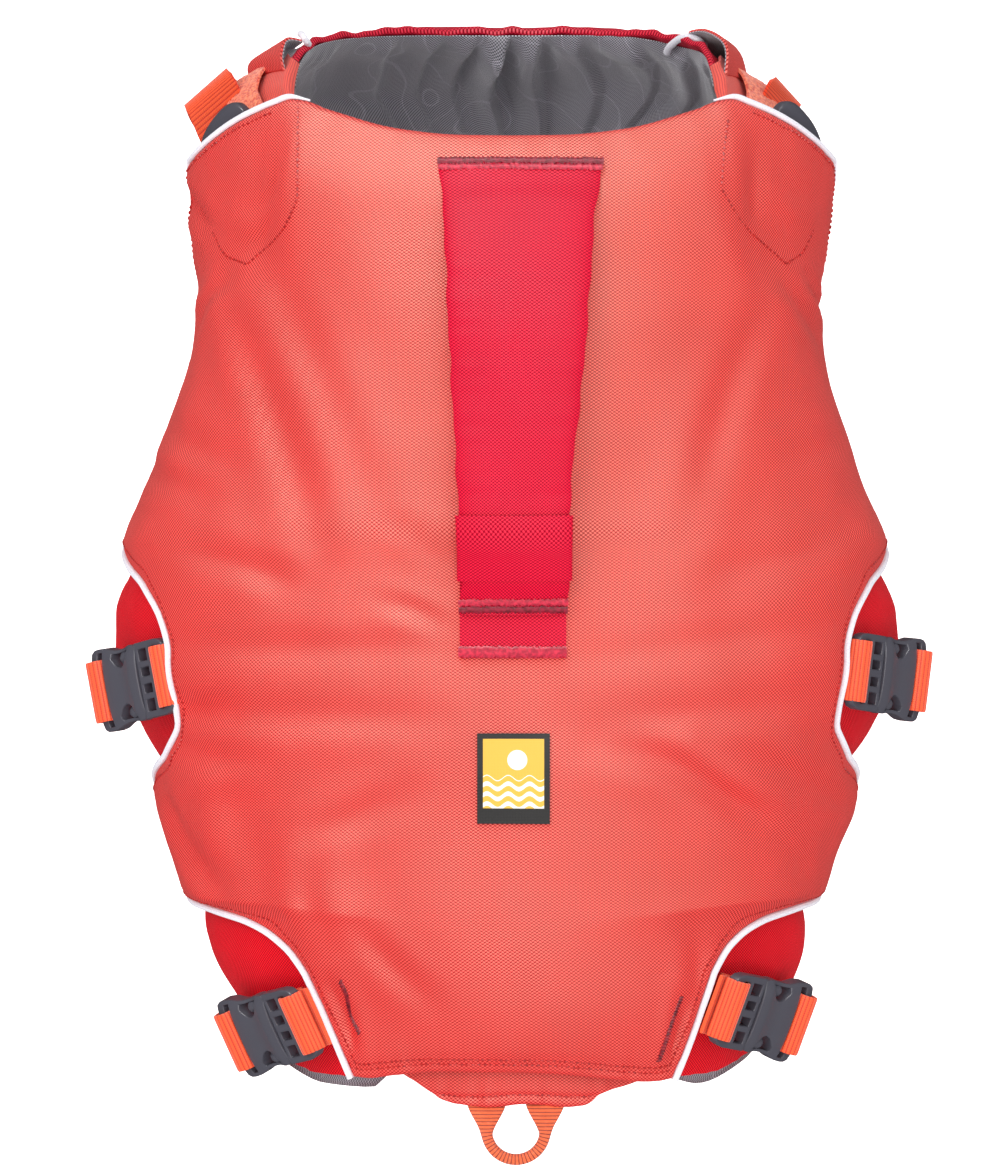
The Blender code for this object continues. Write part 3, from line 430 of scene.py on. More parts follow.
def smooth_line(points, step):
    """Evenly spaced points on a smooth curve through the given ones."""
    points = np.asarray(points, dtype=float)
    share = np.concatenate(([0], np.cumsum(np.linalg.norm(np.diff(points, axis=0), axis=1))))
    places = np.linspace(0, share[-1], max(int(share[-1] / step), 2) + 1)
    columns = []
    for k in range(points.shape[1]):
        columns.append(curve(list(zip(share, points[:, k])), places))
    return np.stack(columns, axis=-1)


def on_cloth(x, y):
    """Arc across the cloth from the spine, for a place seen from above."""
    half = curve(FORM, y)
    return half * np.arcsin(np.clip(x / half, -1.0, 1.0))


def crease_lines(creases):
    """The creases as lines in the cloth's own metres: across from the spine, and y."""
    lines = []
    for points, depth, width in creases:
        plan = np.array(points) / 1000
        cloth = np.stack((on_cloth(plan[:, 0], plan[:, 1]), plan[:, 1]), axis=-1)
        lines.append((smooth_line(cloth, 0.004), depth / 1000, width / 1000))
    return lines


CREASE_LINES = crease_lines(CREASES)
FLAP_LINES = (
    ((-86, 194), (-86, 175), (-86, 154)),
    ((-86, 154), (-92, 142), (-107, 130)),
    ((-107, 130), (-116, 134), (-123, 144)),
    ((87, 186), (85, 172), (84, 158)),
    ((84, 158), (93, 145), (111, 131)),
    ((111, 131), (119, 136), (124, 146)),
)
DART_LINES = (
    ((-69, -157), (-66, -164), (-65, -171), (-61, -179)),
    ((68, -164), (65, -172), (62, -181), (59, -190)),
)
STITCHED_LINES = crease_lines([(line, 0.8, 2.2) for line in FLAP_LINES + DART_LINES])


def creased(across, y, lines):
    """How far the cloth stands out or in at each place because of the creases."""
    total = np.zeros(np.shape(across))
    for line, depth, width in lines:
        best = np.full(total.shape, 1.0)
        where = np.zeros(total.shape)
        for k in range(len(line) - 1):
            (x0, y0), (x1, y1) = line[k], line[k + 1]
            dx, dy = x1 - x0, y1 - y0
            t = np.clip(((across - x0) * dx + (y - y0) * dy) / (dx * dx + dy * dy), 0, 1)
            away = np.hypot(across - x0 - t * dx, y - y0 - t * dy)
            near = away < best
            best = np.where(near, away, best)
            where = np.where(near, (k + t) / (len(line) - 1), where)
        fade = np.sin(np.pi * np.clip(where, 0.04, 0.96)) ** 0.5
        lip = 0.40 * np.exp(-(((best - 1.9 * width) / (1.1 * width)) ** 2))
        total += depth * fade * (lip - np.exp(-((best / width) ** 2)))
    return total


def soft_waves(across, y, height, seed=WAVE_SEED):
    """Long uneven waves in all directions."""
    random = np.random.default_rng(seed)
    total = np.zeros(np.shape(across))
    for _ in range(WAVES):
        length = random.uniform(0.022, 0.085)
        angle = random.uniform(0, np.pi)
        phase = random.uniform(0, 2 * np.pi)
        total += length * np.sin(
            2 * np.pi * (across * np.cos(angle) + y * np.sin(angle)) / length + phase
        )
    return total * height / (0.052 * math.sqrt(WAVES / 2))


def puckers(distance, along, reach, height, seed=3):
    """Small ripples that a seam draws into the cloth, at a distance from it and a place along it."""
    random = np.random.default_rng(seed)
    total = np.zeros(np.shape(distance))
    for length in (0.0065, 0.0092, 0.0137, 0.0210):
        total += np.sin(2 * np.pi * along / length + random.uniform(0, 6.28))
    return total * height / 2 * np.exp(-np.maximum(distance, 0) / reach)


def back_relief(base, s):
    """Folds, puckers and waves of the back panel."""
    y, turn = back_place(base, s)
    across = turn * curve(FORM, y)
    side, front, hem = to_edges(base, s)
    inside = ramp(np.minimum(np.minimum(side, front), hem), 0.010)
    total = CREASE_GAIN * creased(across, y, CREASE_LINES) + soft_waves(across, y, 0.00034)
    total = total * inside + creased(across, y, STITCHED_LINES)
    total += puckers(side - 0.004, y + 0.4 * across, 0.008, 0.00036) * rise(side, 0.001, 0.006)
    total += puckers(front - 0.003, across, 0.008, 0.00040, 4) * rise(front, 0, 0.002)
    total += puckers(hem - 0.003, across, 0.006, 0.00045, 5) * rise(hem, 0, 0.002)
    total -= 0.0009 * np.exp(-(((hem - 0.0050) / 0.0016) ** 2))
    return total


def pad_height(base, s):
    """Thickness of the padded back panel without its folds."""
    y, turn = back_place(base, s)
    side, front, hem = to_edges(base, s)
    full = ramp(side, PAD_SIDE) * ramp(front, PAD_ROLL) * ramp(hem, PAD_ROLL)
    thick = PAD_EDGE + (PAD_FULL - PAD_EDGE) * full
    x0, x1, y0, y1 = FLAP_ZONE
    flap = rise(np.abs(section(y, turn)[..., 0]), x0, x1) * rise(y, y0, y1)
    return thick + (np.minimum(PAD_FLAP, thick) - thick) * flap


EDGE_ROUND = 0.0022


def back_outer(base, s, above=0.0):
    """Points on the outer face of the back panel, or so far above it."""
    y, turn = back_place(base, s)
    nearest = np.clip(np.min(to_edges(base, s), axis=0), 0.0, EDGE_ROUND)
    drop = EDGE_ROUND - np.sqrt(EDGE_ROUND ** 2 - (EDGE_ROUND - nearest) ** 2)
    height = PAD_INNER + pad_height(base, s) + back_relief(base, s) - drop
    return trunk(y, turn, height + above)


def back_top(x, y, above=0.0):
    """Points on the back panel at places seen from above."""
    x, y = np.broadcast_arrays(np.asarray(x, dtype=float), np.asarray(y, dtype=float))
    reach = curve(FORM, y) + PAD_FULL
    turn = np.arcsin(np.clip(x / reach, -1.0, 1.0))
    for _ in range(4):
        base, s = back_share(y, turn)
        here = back_outer(base, s, above)
        turn = turn + (x - here[..., 0]) / reach
    return here


# %% [markdown]
# ## Materials
# The cloth is heavy oxford nylon, a basket of thick yarns with little gaps between them. A plain
# weave has a closed formula: where the warp is on top its yarn is a dome across, and where the weft is
# on top a dome along. The same height drives the bump and the colour: the gaps get a darker colour,
# which is painted shade. UV maps are in metres of cloth, so a yarn spacing in millimetres sets the scale.

# %% Woven cloths
def start_material(name, colour, roughness, specular=0.5):
    """A material with its Principled shader, and both handed back."""
    made = bpy.data.materials.new(name)
    made.use_nodes = True
    shader = made.node_tree.nodes["Principled BSDF"]
    shader.inputs["Base Color"].default_value = rgb(colour)
    shader.inputs["Roughness"].default_value = roughness
    shader.inputs["Specular IOR Level"].default_value = specular
    made.diffuse_color = rgb(colour)
    return made, made.node_tree, shader


def math_node(tree, operation, *values):
    """One arithmetic step between sockets or numbers."""
    return node(tree, "ShaderNodeMath", {"operation": operation}, dict(enumerate(values))).outputs[0]


def cloth_axes(tree, across_mm, along_mm, bias=0.0):
    """The UV map counted in yarns: two outputs, across and along, turned by the bias."""
    uv = node(tree, "ShaderNodeUVMap", {"uv_map": "cloth"}).outputs[0]
    scale = (1000 / across_mm, 1000 / along_mm, 1.0)
    counted = node(
        tree, "ShaderNodeMapping", {}, {"Vector": uv, "Scale": scale, "Rotation": (0.0, 0.0, bias)}
    ).outputs[0]
    split = node(tree, "ShaderNodeSeparateXYZ", {}, {0: counted})
    return split.outputs[0], split.outputs[1]


def plain_weave(tree, x, y):
    """Height of a plain weave, 0 in the gaps and 1 on the yarns' crowns."""
    wave_x = math_node(tree, "SINE", math_node(tree, "MULTIPLY", x, math.pi))
    wave_y = math_node(tree, "SINE", math_node(tree, "MULTIPLY", y, math.pi))
    both = math_node(tree, "MULTIPLY", wave_x, wave_y)
    warp = math_node(tree, "ADD", math_node(tree, "ABSOLUTE", wave_x), both)
    weft = math_node(tree, "SUBTRACT", math_node(tree, "ABSOLUTE", wave_y), both)
    return math_node(tree, "MULTIPLY", math_node(tree, "MAXIMUM", warp, weft), 0.5)


def two_tone(tree, shader, low, high, height, patchy, start=0.15, end=0.75):
    """Colour from the weave's height, broken up by a slow noise."""
    soft = node(
        tree, "ShaderNodeMapRange", {"interpolation_type": "SMOOTHSTEP"},
        {"Value": height, "From Min": start, "From Max": end},
    ).outputs[0]
    weave = node(
        tree, "ShaderNodeMix", {"data_type": "RGBA"},
        {"Factor": soft},
    )
    # A Mix node has sockets for every data type; the colour ones are the last of each name.
    for key, value in (("A_Color", rgb(low)), ("B_Color", rgb(high))):
        for socket in weave.inputs:
            if socket.identifier == key:
                socket.default_value = value
    colour = next(s for s in weave.outputs if s.identifier == "Result_Color")
    noise = node(
        tree, "ShaderNodeTexNoise", {},
        {"Vector": node(tree, "ShaderNodeTexCoord").outputs["Object"], "Scale": 38.0, "Detail": 3.0},
    ).outputs[0]
    value = node(
        tree, "ShaderNodeMapRange", {},
        {"Value": noise, "From Min": 0.3, "From Max": 0.7, "To Min": 1 - patchy, "To Max": 1 + patchy},
    ).outputs[0]
    varied = node(tree, "ShaderNodeHueSaturation", {}, {"Color": colour, "Value": value}).outputs[0]
    tree.links.new(varied, shader.inputs["Base Color"])


def bump(tree, shader, height, depth_mm, strength):
    """Relief of so many millimetres from a height between 0 and 1."""
    made = node(
        tree, "ShaderNodeBump", {},
        {"Height": height, "Distance": depth_mm / 1000, "Strength": strength},
    )
    tree.links.new(made.outputs[0], shader.inputs["Normal"])


YARN_MM = (1.22, 0.90)  # across and along the piece
BIAS = math.radians(45)  # the gaps of the basket weave lie in slanting rows


def oxford(name, yarn, gap, roughness, patchy=0.05, fine=1.0, specular=0.4, tint="#ffffff"):
    """Oxford nylon: thick yarns whose round tops catch the light, and gaps that don't; the gaps' darker
    colour is painted shade.
    """
    made, tree, shader = start_material(name, yarn, roughness, specular)
    x, y = cloth_axes(tree, YARN_MM[0] * fine, YARN_MM[1] * fine, BIAS)
    height = plain_weave(tree, x, y)
    # The gap colour is painted shade in the gaps between the yarns, and the gaps also get almost no
    # specular.
    two_tone(tree, shader, gap, yarn, height, patchy, 0.22, 0.82)
    crowns = node(tree, "ShaderNodeMapRange", {}, {
        "Value": height, "From Min": 0.25, "From Max": 0.80, "To Min": 0.05 * specular, "To Max": specular})
    tree.links.new(crowns.outputs[0], shader.inputs["Specular IOR Level"])
    shader.inputs["Specular Tint"].default_value = rgb(tint)
    bump(tree, shader, height, 0.26, 0.48)
    return made


# The second colour of each cloth is painted shade for its weave's gaps.
coral_cloth = oxford("coral oxford nylon, woven", "#ff2028", "#a8060e", 0.60, specular=2.1, tint="#fff2dc")
crimson_cloth = oxford("crimson oxford nylon, woven", "#e80a38", "#880018", 0.55)
handle_cloth = oxford("raspberry oxford nylon, woven", "#f2063a", "#980020", 0.50, specular=0.26)
wing_cloth = oxford("red oxford nylon, woven", "#fa0c24", "#9c0410", 0.54, specular=0.2)


def taffeta_lining():
    """Grey taffeta: fine and satiny, with faint wandering lines printed on it."""
    # Its dark second colour is painted shade in the gaps of the weave.
    made = oxford("grey taffeta lining, woven", "#b6b3bc", "#413f47", 0.36, 0.05, 0.9, specular=1.4)
    tree = made.node_tree
    shader = tree.nodes["Principled BSDF"]
    shader.inputs["Sheen Weight"].default_value = 0.45
    shader.inputs["Sheen Roughness"].default_value = 0.40
    woven = shader.inputs["Base Color"].links[0].from_socket
    where = node(tree, "ShaderNodeTexCoord").outputs["Object"]
    hills = node(tree, "ShaderNodeTexNoise", {}, {"Vector": where, "Scale": 22.0, "Detail": 1.0}).outputs[0]
    level = math_node(tree, "FRACT", math_node(tree, "MULTIPLY", hills, 9.0))
    away = math_node(tree, "ABSOLUTE", math_node(tree, "SUBTRACT", level, 0.5))
    line = math_node(tree, "MULTIPLY", math_node(tree, "LESS_THAN", away, 0.035), 1.35)
    value = math_node(tree, "ADD", math_node(tree, "MULTIPLY", line, 0.25), 1.0)
    printed = node(tree, "ShaderNodeHueSaturation", {}, {"Color": woven, "Value": value}).outputs[0]
    tree.links.new(printed, shader.inputs["Base Color"])
    return made


lining_cloth = taffeta_lining()
print("cloth yarn spacing", YARN_MM, "mm")

# %% [markdown]
# Webbing is woven thick, with ribs that lie across it. Each rib is a rounded ridge, and the picks
# of yarn cut it into small beads, so the height is a product of two waves.

# %% Webbing, pile, plastic, piping and thread
def ribbed(name, colour, groove_shade, rib_mm, bead_mm, roughness):
    """Ribbed webbing: round ribs across it, cut into beads by the yarn, with painted shade in the grooves.
    """
    made, tree, shader = start_material(name, colour, roughness, 0.35)
    shader.inputs["Sheen Weight"].default_value = 0.20
    x, y = cloth_axes(tree, rib_mm, bead_mm)
    rib = math_node(tree, "ABSOLUTE", math_node(tree, "SINE", math_node(tree, "MULTIPLY", x, math.pi)))
    bead = math_node(tree, "ABSOLUTE", math_node(tree, "SINE", math_node(tree, "MULTIPLY", y, math.pi)))
    part = math_node(tree, "MULTIPLY_ADD", bead, 0.45, 0.55)
    height = math_node(tree, "MULTIPLY", rib, part)
    # The groove colour is painted shade between the ribs and the beads.
    two_tone(tree, shader, groove_shade, colour, height, 0.05, 0.05, 0.55)
    bump(tree, shader, height, 0.35, 0.60)
    return made


# The second colour of each webbing is painted shade in its grooves.
orange_webbing = ribbed("orange polyester webbing, ribbed", "#ff5a26", "#d42a12", 1.55, 0.9, 0.55)
coral_band = ribbed("coral grosgrain band, ribbed", "#f4503c", "#c3202a", 1.25, 0.8, 0.60)
cord_webbing = ribbed("orange webbing rolled to a cord", "#ff7240", "#7c1c1c", 1.45, 3.5, 0.60)


def pile_material():
    """Loop pile: a matt fuzz of nylon loops."""
    made, tree, shader = start_material("coral loop pile, brushed", "#f0704c", 0.95, 0.2)
    shader.inputs["Sheen Weight"].default_value = 0.4
    shader.inputs["Sheen Roughness"].default_value = 0.6
    where = node(tree, "ShaderNodeTexCoord").outputs["Object"]
    loops = node(tree, "ShaderNodeTexNoise", {}, {"Vector": where, "Scale": 900.0, "Detail": 4.0})
    two_tone(tree, shader, "#d8452a", "#ff8a5c", loops.outputs[0], 0.06, 0.35, 0.65)
    bump(tree, shader, loops.outputs[0], 0.6, 0.8)
    return made


def acetal_material():
    """Acetal, injection moulded in a blasted mould: satin, with faint swirls."""
    made, tree, shader = start_material("charcoal acetal, moulded", "#4c4b55", 0.38, 0.5)
    where = node(tree, "ShaderNodeTexCoord").outputs["Object"]
    grain = node(tree, "ShaderNodeTexNoise", {}, {"Vector": where, "Scale": 1600.0, "Detail": 2.0})
    bump(tree, shader, grain.outputs[0], 0.04, 0.35)
    cloud = node(tree, "ShaderNodeTexNoise", {}, {"Vector": where, "Scale": 120.0, "Detail": 3.0})
    shine = node(
        tree, "ShaderNodeMapRange", {},
        {"Value": cloud.outputs[0], "From Min": 0.3, "From Max": 0.7, "To Min": 0.32, "To Max": 0.46},
    )
    tree.links.new(shine.outputs[0], shader.inputs["Roughness"])
    return made


def piping_material():
    """Reflective piping: glass beads in a pale film, faintly ribbed by the cord inside."""
    made, tree, shader = start_material("reflective piping, glass beaded", "#e4e1ee", 0.45, 0.6)
    x, _ = cloth_axes(tree, 1.2, 1.2)
    twist = math_node(tree, "SINE", math_node(tree, "MULTIPLY", x, 2 * math.pi))
    bump(tree, shader, math_node(tree, "MULTIPLY_ADD", twist, 0.5, 0.5), 0.02, 0.15)
    where = node(tree, "ShaderNodeTexCoord").outputs["Object"]
    specks = node(tree, "ShaderNodeTexNoise", {}, {"Vector": where, "Scale": 1800.0, "Detail": 2.0})
    two_tone(tree, shader, "#dedbe8", "#f2f1f8", specks.outputs[0], 0.01, 0.3, 0.6)
    return made


def thread_material(name, colour, dark):
    """Bonded polyester thread: glossy, with two plies that twist."""
    made, tree, shader = start_material(name, colour, 0.40, 0.5)
    where = node(tree, "ShaderNodeTexCoord").outputs["Object"]
    plies = node(tree, "ShaderNodeTexNoise", {}, {"Vector": where, "Scale": 700.0, "Detail": 2.0})
    two_tone(tree, shader, dark, colour, plies.outputs[0], 0.03, 0.35, 0.65)
    return made


pile = pile_material()
acetal = acetal_material()
piping = piping_material()
# This thread's dark red is painted shade of the needle holes and dimples; the thread itself is nearly the
# cloth's colour.
hole_shade_thread = thread_material("sewing thread, with painted hole shade", "#c8241e", "#9c1014")
# The darts' dark crimson is partly their thread and partly painted shade of the darts' folds.
dart_thread_and_fold_shade = thread_material("crimson dart thread, with painted fold shade", "#9c1426", "#640818")
satin_thread = thread_material("raspberry satin thread, pale", "#e02c4c", "#b41838")
# A darker copy of the satin thread: painted shade on half of a bar.
shaded_satin = thread_material("raspberry satin thread, painted shade", "#a41034", "#780820")
print("materials", len(bpy.data.materials))

# %% [markdown]
# ## A helper that cuts and drapes one piece
# A grid is the flat cloth. Extruding it gives the wall its second face, and then every point moves to
# its place on the form. The UV map keeps the flat cloth's own metres, for the weave.

# %% Panels, tubes and stitches
BODY = "root"
added = []


def finished(name, bm, material, replaces=(), sharp=35.0):
    """Turns a bmesh into a piece that rides on the jacket."""
    mesh = bpy.data.meshes.new(name)
    bm.to_mesh(mesh)
    bm.free()
    mesh.materials.append(material)
    mesh.shade_smooth()
    mesh.set_sharp_from_angle(angle=math.radians(sharp))
    made = link_object(name, mesh)
    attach(made, BODY)
    if replaces:
        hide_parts(*replaces)
    added.append(name)
    return made


def panel(name, us, vs, place, flat, material, replaces=()):
    """A closed piece of cloth: place(u, v, outer) puts its points, and flat(u, v) gives its cloth map."""
    us, vs = np.asarray(us), np.asarray(vs)
    bm = bmesh.new()
    bmesh.ops.create_grid(bm, x_segments=len(us) - 1, y_segments=len(vs) - 1, size=0.5)
    made = bmesh.ops.extrude_face_region(bm, geom=bm.faces[:], use_keep_orig=True)
    inner = {g for g in made["geom"] if isinstance(g, bmesh.types.BMVert)}
    outer = np.array([v not in inner for v in bm.verts])
    grid = np.array([v.co for v in bm.verts])
    u = us[np.rint((grid[:, 0] + 0.5) * (len(us) - 1)).astype(int)]
    v = vs[np.rint((grid[:, 1] + 0.5) * (len(vs) - 1)).astype(int)]
    points = np.where(outer[:, None], place(u, v, True), place(u, v, False))
    for vert, point in zip(bm.verts, points):
        vert.co = point
    bmesh.ops.recalc_face_normals(bm, faces=bm.faces)
    if bm.calc_volume(signed=True) < 0:
        bmesh.ops.reverse_faces(bm, faces=bm.faces)
    cloth = np.stack(np.broadcast_arrays(*flat(u, v)), axis=-1)
    piece = finished(name, bm, material, replaces, 50.0)
    corners = np.empty(len(piece.data.loops), dtype=np.int32)
    piece.data.loops.foreach_get("vertex_index", corners)
    layer = piece.data.uv_layers.new(name="cloth")
    layer.data.foreach_set("uv", cloth[corners].astype(np.float32).ravel())
    return piece


def edge_rich(count, width, ends=(0.0, 0.0004, 0.0009, 0.0015, 0.0023)):
    """Places from -1 to 1, even in the middle and close together near both ends."""
    near = [e / (width / 2) for e in ends]
    middle = np.linspace(-1 + near[-1], 1 - near[-1], count)
    return np.concatenate(([-1 + n for n in near[:-1]], middle, [1 - n for n in reversed(near[:-1])]))


def frames_along(points, normals):
    """Unit vectors along a line of points, and sideways in the surface."""
    ahead = np.vstack((points[1:], points[-1:]))
    behind = np.vstack((points[:1], points[:-1]))
    along = unit(ahead - behind)
    return along, unit(np.cross(along, normals))


def tube(name, points, normals, radius, material, replaces=(), sides=10, flat=1.0):
    """A round or flattened bead along a line of points: a circle swept by extruding its edges."""
    points = np.asarray(points)
    along, side = frames_along(points, normals)
    up = unit(np.cross(side, along))
    radius = np.broadcast_to(radius, len(points))
    length = np.concatenate(([0], np.cumsum(np.linalg.norm(np.diff(points, axis=0), axis=1))))
    bm = bmesh.new()
    uv = bm.loops.layers.uv.new("cloth")
    ring = bmesh.ops.create_circle(bm, cap_ends=False, segments=sides, radius=1.0)["verts"]
    order = list(ring)
    angles = [math.atan2(v.co.y, v.co.x) for v in order]
    place_of = {}

    def put(verts, k):
        for n, vert in enumerate(verts):
            c, s = math.cos(angles[n]), math.sin(angles[n])
            vert.co = points[k] + (side[k] * c + up[k] * s * flat) * radius[k]
            place_of[vert] = (k, n)

    put(order, 0)
    first = list(order)
    for k in range(1, len(points)):
        edges = [e for e in {e for v in order for e in v.link_edges} if all(v in order for v in e.verts)]
        made = bmesh.ops.extrude_edge_only(bm, edges=edges)
        new = [g for g in made["geom"] if isinstance(g, bmesh.types.BMVert)]
        match = {}
        for vert in new:
            old = next(e.other_vert(vert) for e in vert.link_edges if e.other_vert(vert) in order)
            match[order.index(old)] = vert
        order = [match[n] for n in range(sides)]
        put(order, k)
    bm.faces.new(first)
    bm.faces.new(order)
    bmesh.ops.recalc_face_normals(bm, faces=bm.faces)
    for face in bm.faces:
        ns = [place_of[loop.vert][1] for loop in face.loops]
        wraps = len(face.verts) == 4 and max(ns) - min(ns) > sides / 2
        for loop in face.loops:
            k, n = place_of[loop.vert]
            turned = n + sides if wraps and n < sides / 2 else n
            loop[uv].uv = (length[k], turned / sides * 2 * math.pi * float(radius[k]))
    return finished(name, bm, material, replaces)


def spaced(points, normals, step):
    """Even places along a line of points, with the normals there."""
    points, normals = np.asarray(points), np.asarray(normals)
    length = np.concatenate(([0], np.cumsum(np.linalg.norm(np.diff(points, axis=0), axis=1))))
    at = np.arange(step / 2, length[-1], step)
    mixed = [np.stack([np.interp(at, length, a[:, k]) for k in range(3)], axis=-1)
             for a in (points, normals)]
    return mixed[0], unit(mixed[1])


def stitches(name, lines, material, pitch=0.0024, long=0.0018, wide=0.0010, slant=0.0):
    """Rows of sewing stitches: small beads of thread that lie on the cloth along the given lines."""
    bm = bmesh.new()
    for points, normals in lines:
        places, ups = spaced(points, normals, pitch)
        along, side = frames_along(places, ups)
        for k in range(len(places)):
            x = Vector(along[k] * math.cos(slant) + side[k] * math.sin(slant))
            z = Vector(ups[k])
            y = z.cross(x).normalized()
            turn = Matrix((x * long / 2, y * wide / 2, z * wide / 2)).transposed().to_4x4()
            turn.translation = Vector(places[k])
            bmesh.ops.create_uvsphere(bm, u_segments=6, v_segments=4, radius=1.0, matrix=turn)
    return finished(name, bm, material)


# %% [markdown]
# ## The padded back panel
# This is the biggest piece: nylon over foam blocks. Its rows are spaced by how long the side edge
# runs between them, so the scallops' tight curves get as many points as they need.

# %% Back panel
BACK_COLUMNS = 84
ROW_STEP = 0.0030


def even_rows(step):
    """Rows of the back panel, even along its side edge, with close ones at hem and neckline."""
    base = np.linspace(HEM_Y, FRONT_Y, 3000)
    y, turn = back_place(base, np.ones_like(base))
    edge = trunk(y, turn)
    length = np.concatenate(([0], np.cumsum(np.linalg.norm(np.diff(edge, axis=0), axis=1))))
    rows = np.interp(np.linspace(0, length[-1], int(length[-1] / step)), length, base)
    close = np.array([0.0004, 0.0009, 0.0015])
    return np.unique(np.concatenate((rows, HEM_Y + close, FRONT_Y - close)))


def flat_back(s, base):
    """The back panel's cloth map in metres."""
    y, turn = back_place(base, s)
    return turn * curve(FORM, y), y


back_rows = even_rows(ROW_STEP)
back_columns = edge_rich(BACK_COLUMNS, 0.36)


def back_face(s, base, outer):
    """Both faces of the padded panel."""
    if outer:
        return back_outer(base, s)
    y, turn = back_place(base, s)
    return trunk(y, turn, PAD_INNER + 0 * s)


back = panel("back_panel_cloth", back_columns, back_rows, back_face, flat_back,
             coral_cloth, ["back_panel"])
print("back panel", len(back_rows), "rows")

# %% Back lining
GATHER = 0.0006


def lining_face(s, base, outer):
    """The lining under the back panel, a little gathered at the neck."""
    y, turn = back_place(base, s)
    _, front, _ = to_edges(base, s)
    fold = puckers(front, turn * curve(FORM, y), 0.020, GATHER, 8) * rise(front, 0.001, 0.006)
    return trunk(y, turn, (LINING + PAD_INNER) * 0.62 if outer else np.minimum(fold, 0.0004))


panel("back_lining_cloth", np.linspace(-1, 1, 61), back_rows[::2].tolist() + [FRONT_Y],
      lining_face, flat_back, lining_cloth, ["back_lining"])

# %% [markdown]
# ## The belly panel
# One wrap of red nylon goes under the dog from wing to wing. Only its wings show from above, inside
# the scallops, but it holds the jacket on, so it is padded under the belly and sewn in channels.

# %% Belly panel and its lining
BELLY_FRONT = (
    # turn   y
    (0.0, 0.1135),
    (25.0, 0.1130),
    (31.0, 0.0960),
    (40.0, 0.0700),
    (52.0, 0.0440),
    (66.0, 0.0260),
    (80.0, 0.0140),
    (92.0, 0.0070),
    (110.0, 0.0040),
    (150.0, 0.0020),
)
BELLY_REAR = (
    # turn    y
    (0.0, -0.172),
    (45.0, -0.175),
    (75.0, -0.181),
    (104.0, -0.1920),
    (122.0, -0.1988),
    (140.0, -0.1996),
    (152.0, -0.1962),
)
WING_TOP = (
    # y      turn from the belly line
    (-0.200, 144.0),
    (-0.150, 143.0),
    (-0.120, 134.0),
    (-0.080, 131.0),
    (-0.030, 132.0),
    (0.010, 128.0),
)
WING_OUTER = -0.0019
WING_WALL = 0.0026
BELLY_PAD = 0.0060
BELLY_LINING_GAP = 0.0006
LEFT_CORNER = 6.5  # degrees that the left rear corner runs on under the hem
CHANNELS = (-0.105, -0.035, 0.040)  # y of the sewn channels under the belly
CHANNEL_DEPTH = 0.0022
RIM_OUT = 0.0042  # how far the rolled rear rim of the lining stands out behind the panel


def belly_place(t, b):
    """The y, the angle from the spine and the degrees from the belly line, front 0 to rear 1."""
    reach = curve(WING_TOP, 0.004 - 0.2025 * t) + np.where(b < 0, LEFT_CORNER * rise(t, 0.9, 1.0), 0.0)
    turn = np.abs(b) * reach
    front = curve(BELLY_FRONT, turn)
    rear = curve(BELLY_REAR, turn)
    return front + (rear - front) * t, np.where(b < 0, -1, 1) * np.radians(180 - turn), turn


def belly_outer(t, b):
    """How far the belly panel's outer face lies out from the trunk form."""
    y, turn, degrees = belly_place(t, b)
    padded = 1 - rise(degrees, 35, 75)
    across = turn * curve(FORM, y)
    height = WING_OUTER + BELLY_PAD * padded * ramp(np.minimum(t, 1 - t), 0.18)
    for channel in CHANNELS:
        height -= CHANNEL_DEPTH * padded * np.exp(-(((y - channel) / 0.0035) ** 2))
    edge = np.minimum(t, 1 - t) * 0.2
    inside = ramp(edge, 0.02)
    waves = np.minimum(soft_waves(across, y, 0.00035, 21), 0.0002 + 0.0006 * padded)
    ripples = np.minimum(puckers(edge - 0.002, across, 0.007, 0.00035, 9), 0.0002 + 0.0006 * padded)
    return height + waves * inside + ripples


def belly_face(b, t, outer):
    """Both faces of the belly panel."""
    y, turn, _ = belly_place(t, b)
    return trunk(y, turn, belly_outer(t, b) if outer else WING_OUTER - WING_WALL + 0 * b)


def belly_lining_face(b, t, outer):
    """Both faces of the belly lining."""
    y, turn, _ = belly_place(t, b)
    top = WING_OUTER - WING_WALL - BELLY_LINING_GAP
    wave = np.clip(soft_waves(turn * 0.13, y, 0.0004, 5), -0.0006, 0.0004)
    past = np.maximum(t - 1.0, 0.0) / 0.02
    out = RIM_OUT * (1 - rise(np.abs(b), np.where(b < 0, 0.95, 0.86), 1.0))
    y = np.where(t > 1.0, belly_place(np.minimum(t, 1.0), b)[0] - out * np.sin(past * np.pi / 2), y)
    roll = (WING_WALL + BELLY_LINING_GAP) * past ** 2 * out / RIM_OUT
    return trunk(y, turn, top + roll if outer else top - LINING + wave + 0.6 * roll)


def flat_belly(b, t):
    """The belly panel's cloth map in metres."""
    y, turn, _ = belly_place(t, b)
    return turn * curve(FORM, y), y


belly_rows = 0.5 + 0.5 * edge_rich(96, 0.2)
belly = panel("belly_panel_cloth", edge_rich(120, 0.7), belly_rows, belly_face, flat_belly,
              wing_cloth, ["belly_panel"])
lining_rows = np.concatenate((np.linspace(0, 1, 49), np.linspace(1.003, 1.02, 6)))
panel("belly_lining_cloth", np.linspace(-1, 1, 81), lining_rows,
      belly_lining_face, flat_belly, lining_cloth, ["belly_lining"])

# %% [markdown]
# ## The breast piece
# It rises from the seam between the forelegs to the throat, and its two tongues run up into the
# shoulder sleeves. The throat rim is rolled over foam, and the lining is gathered below it, in deep
# folds that fan out downwards.

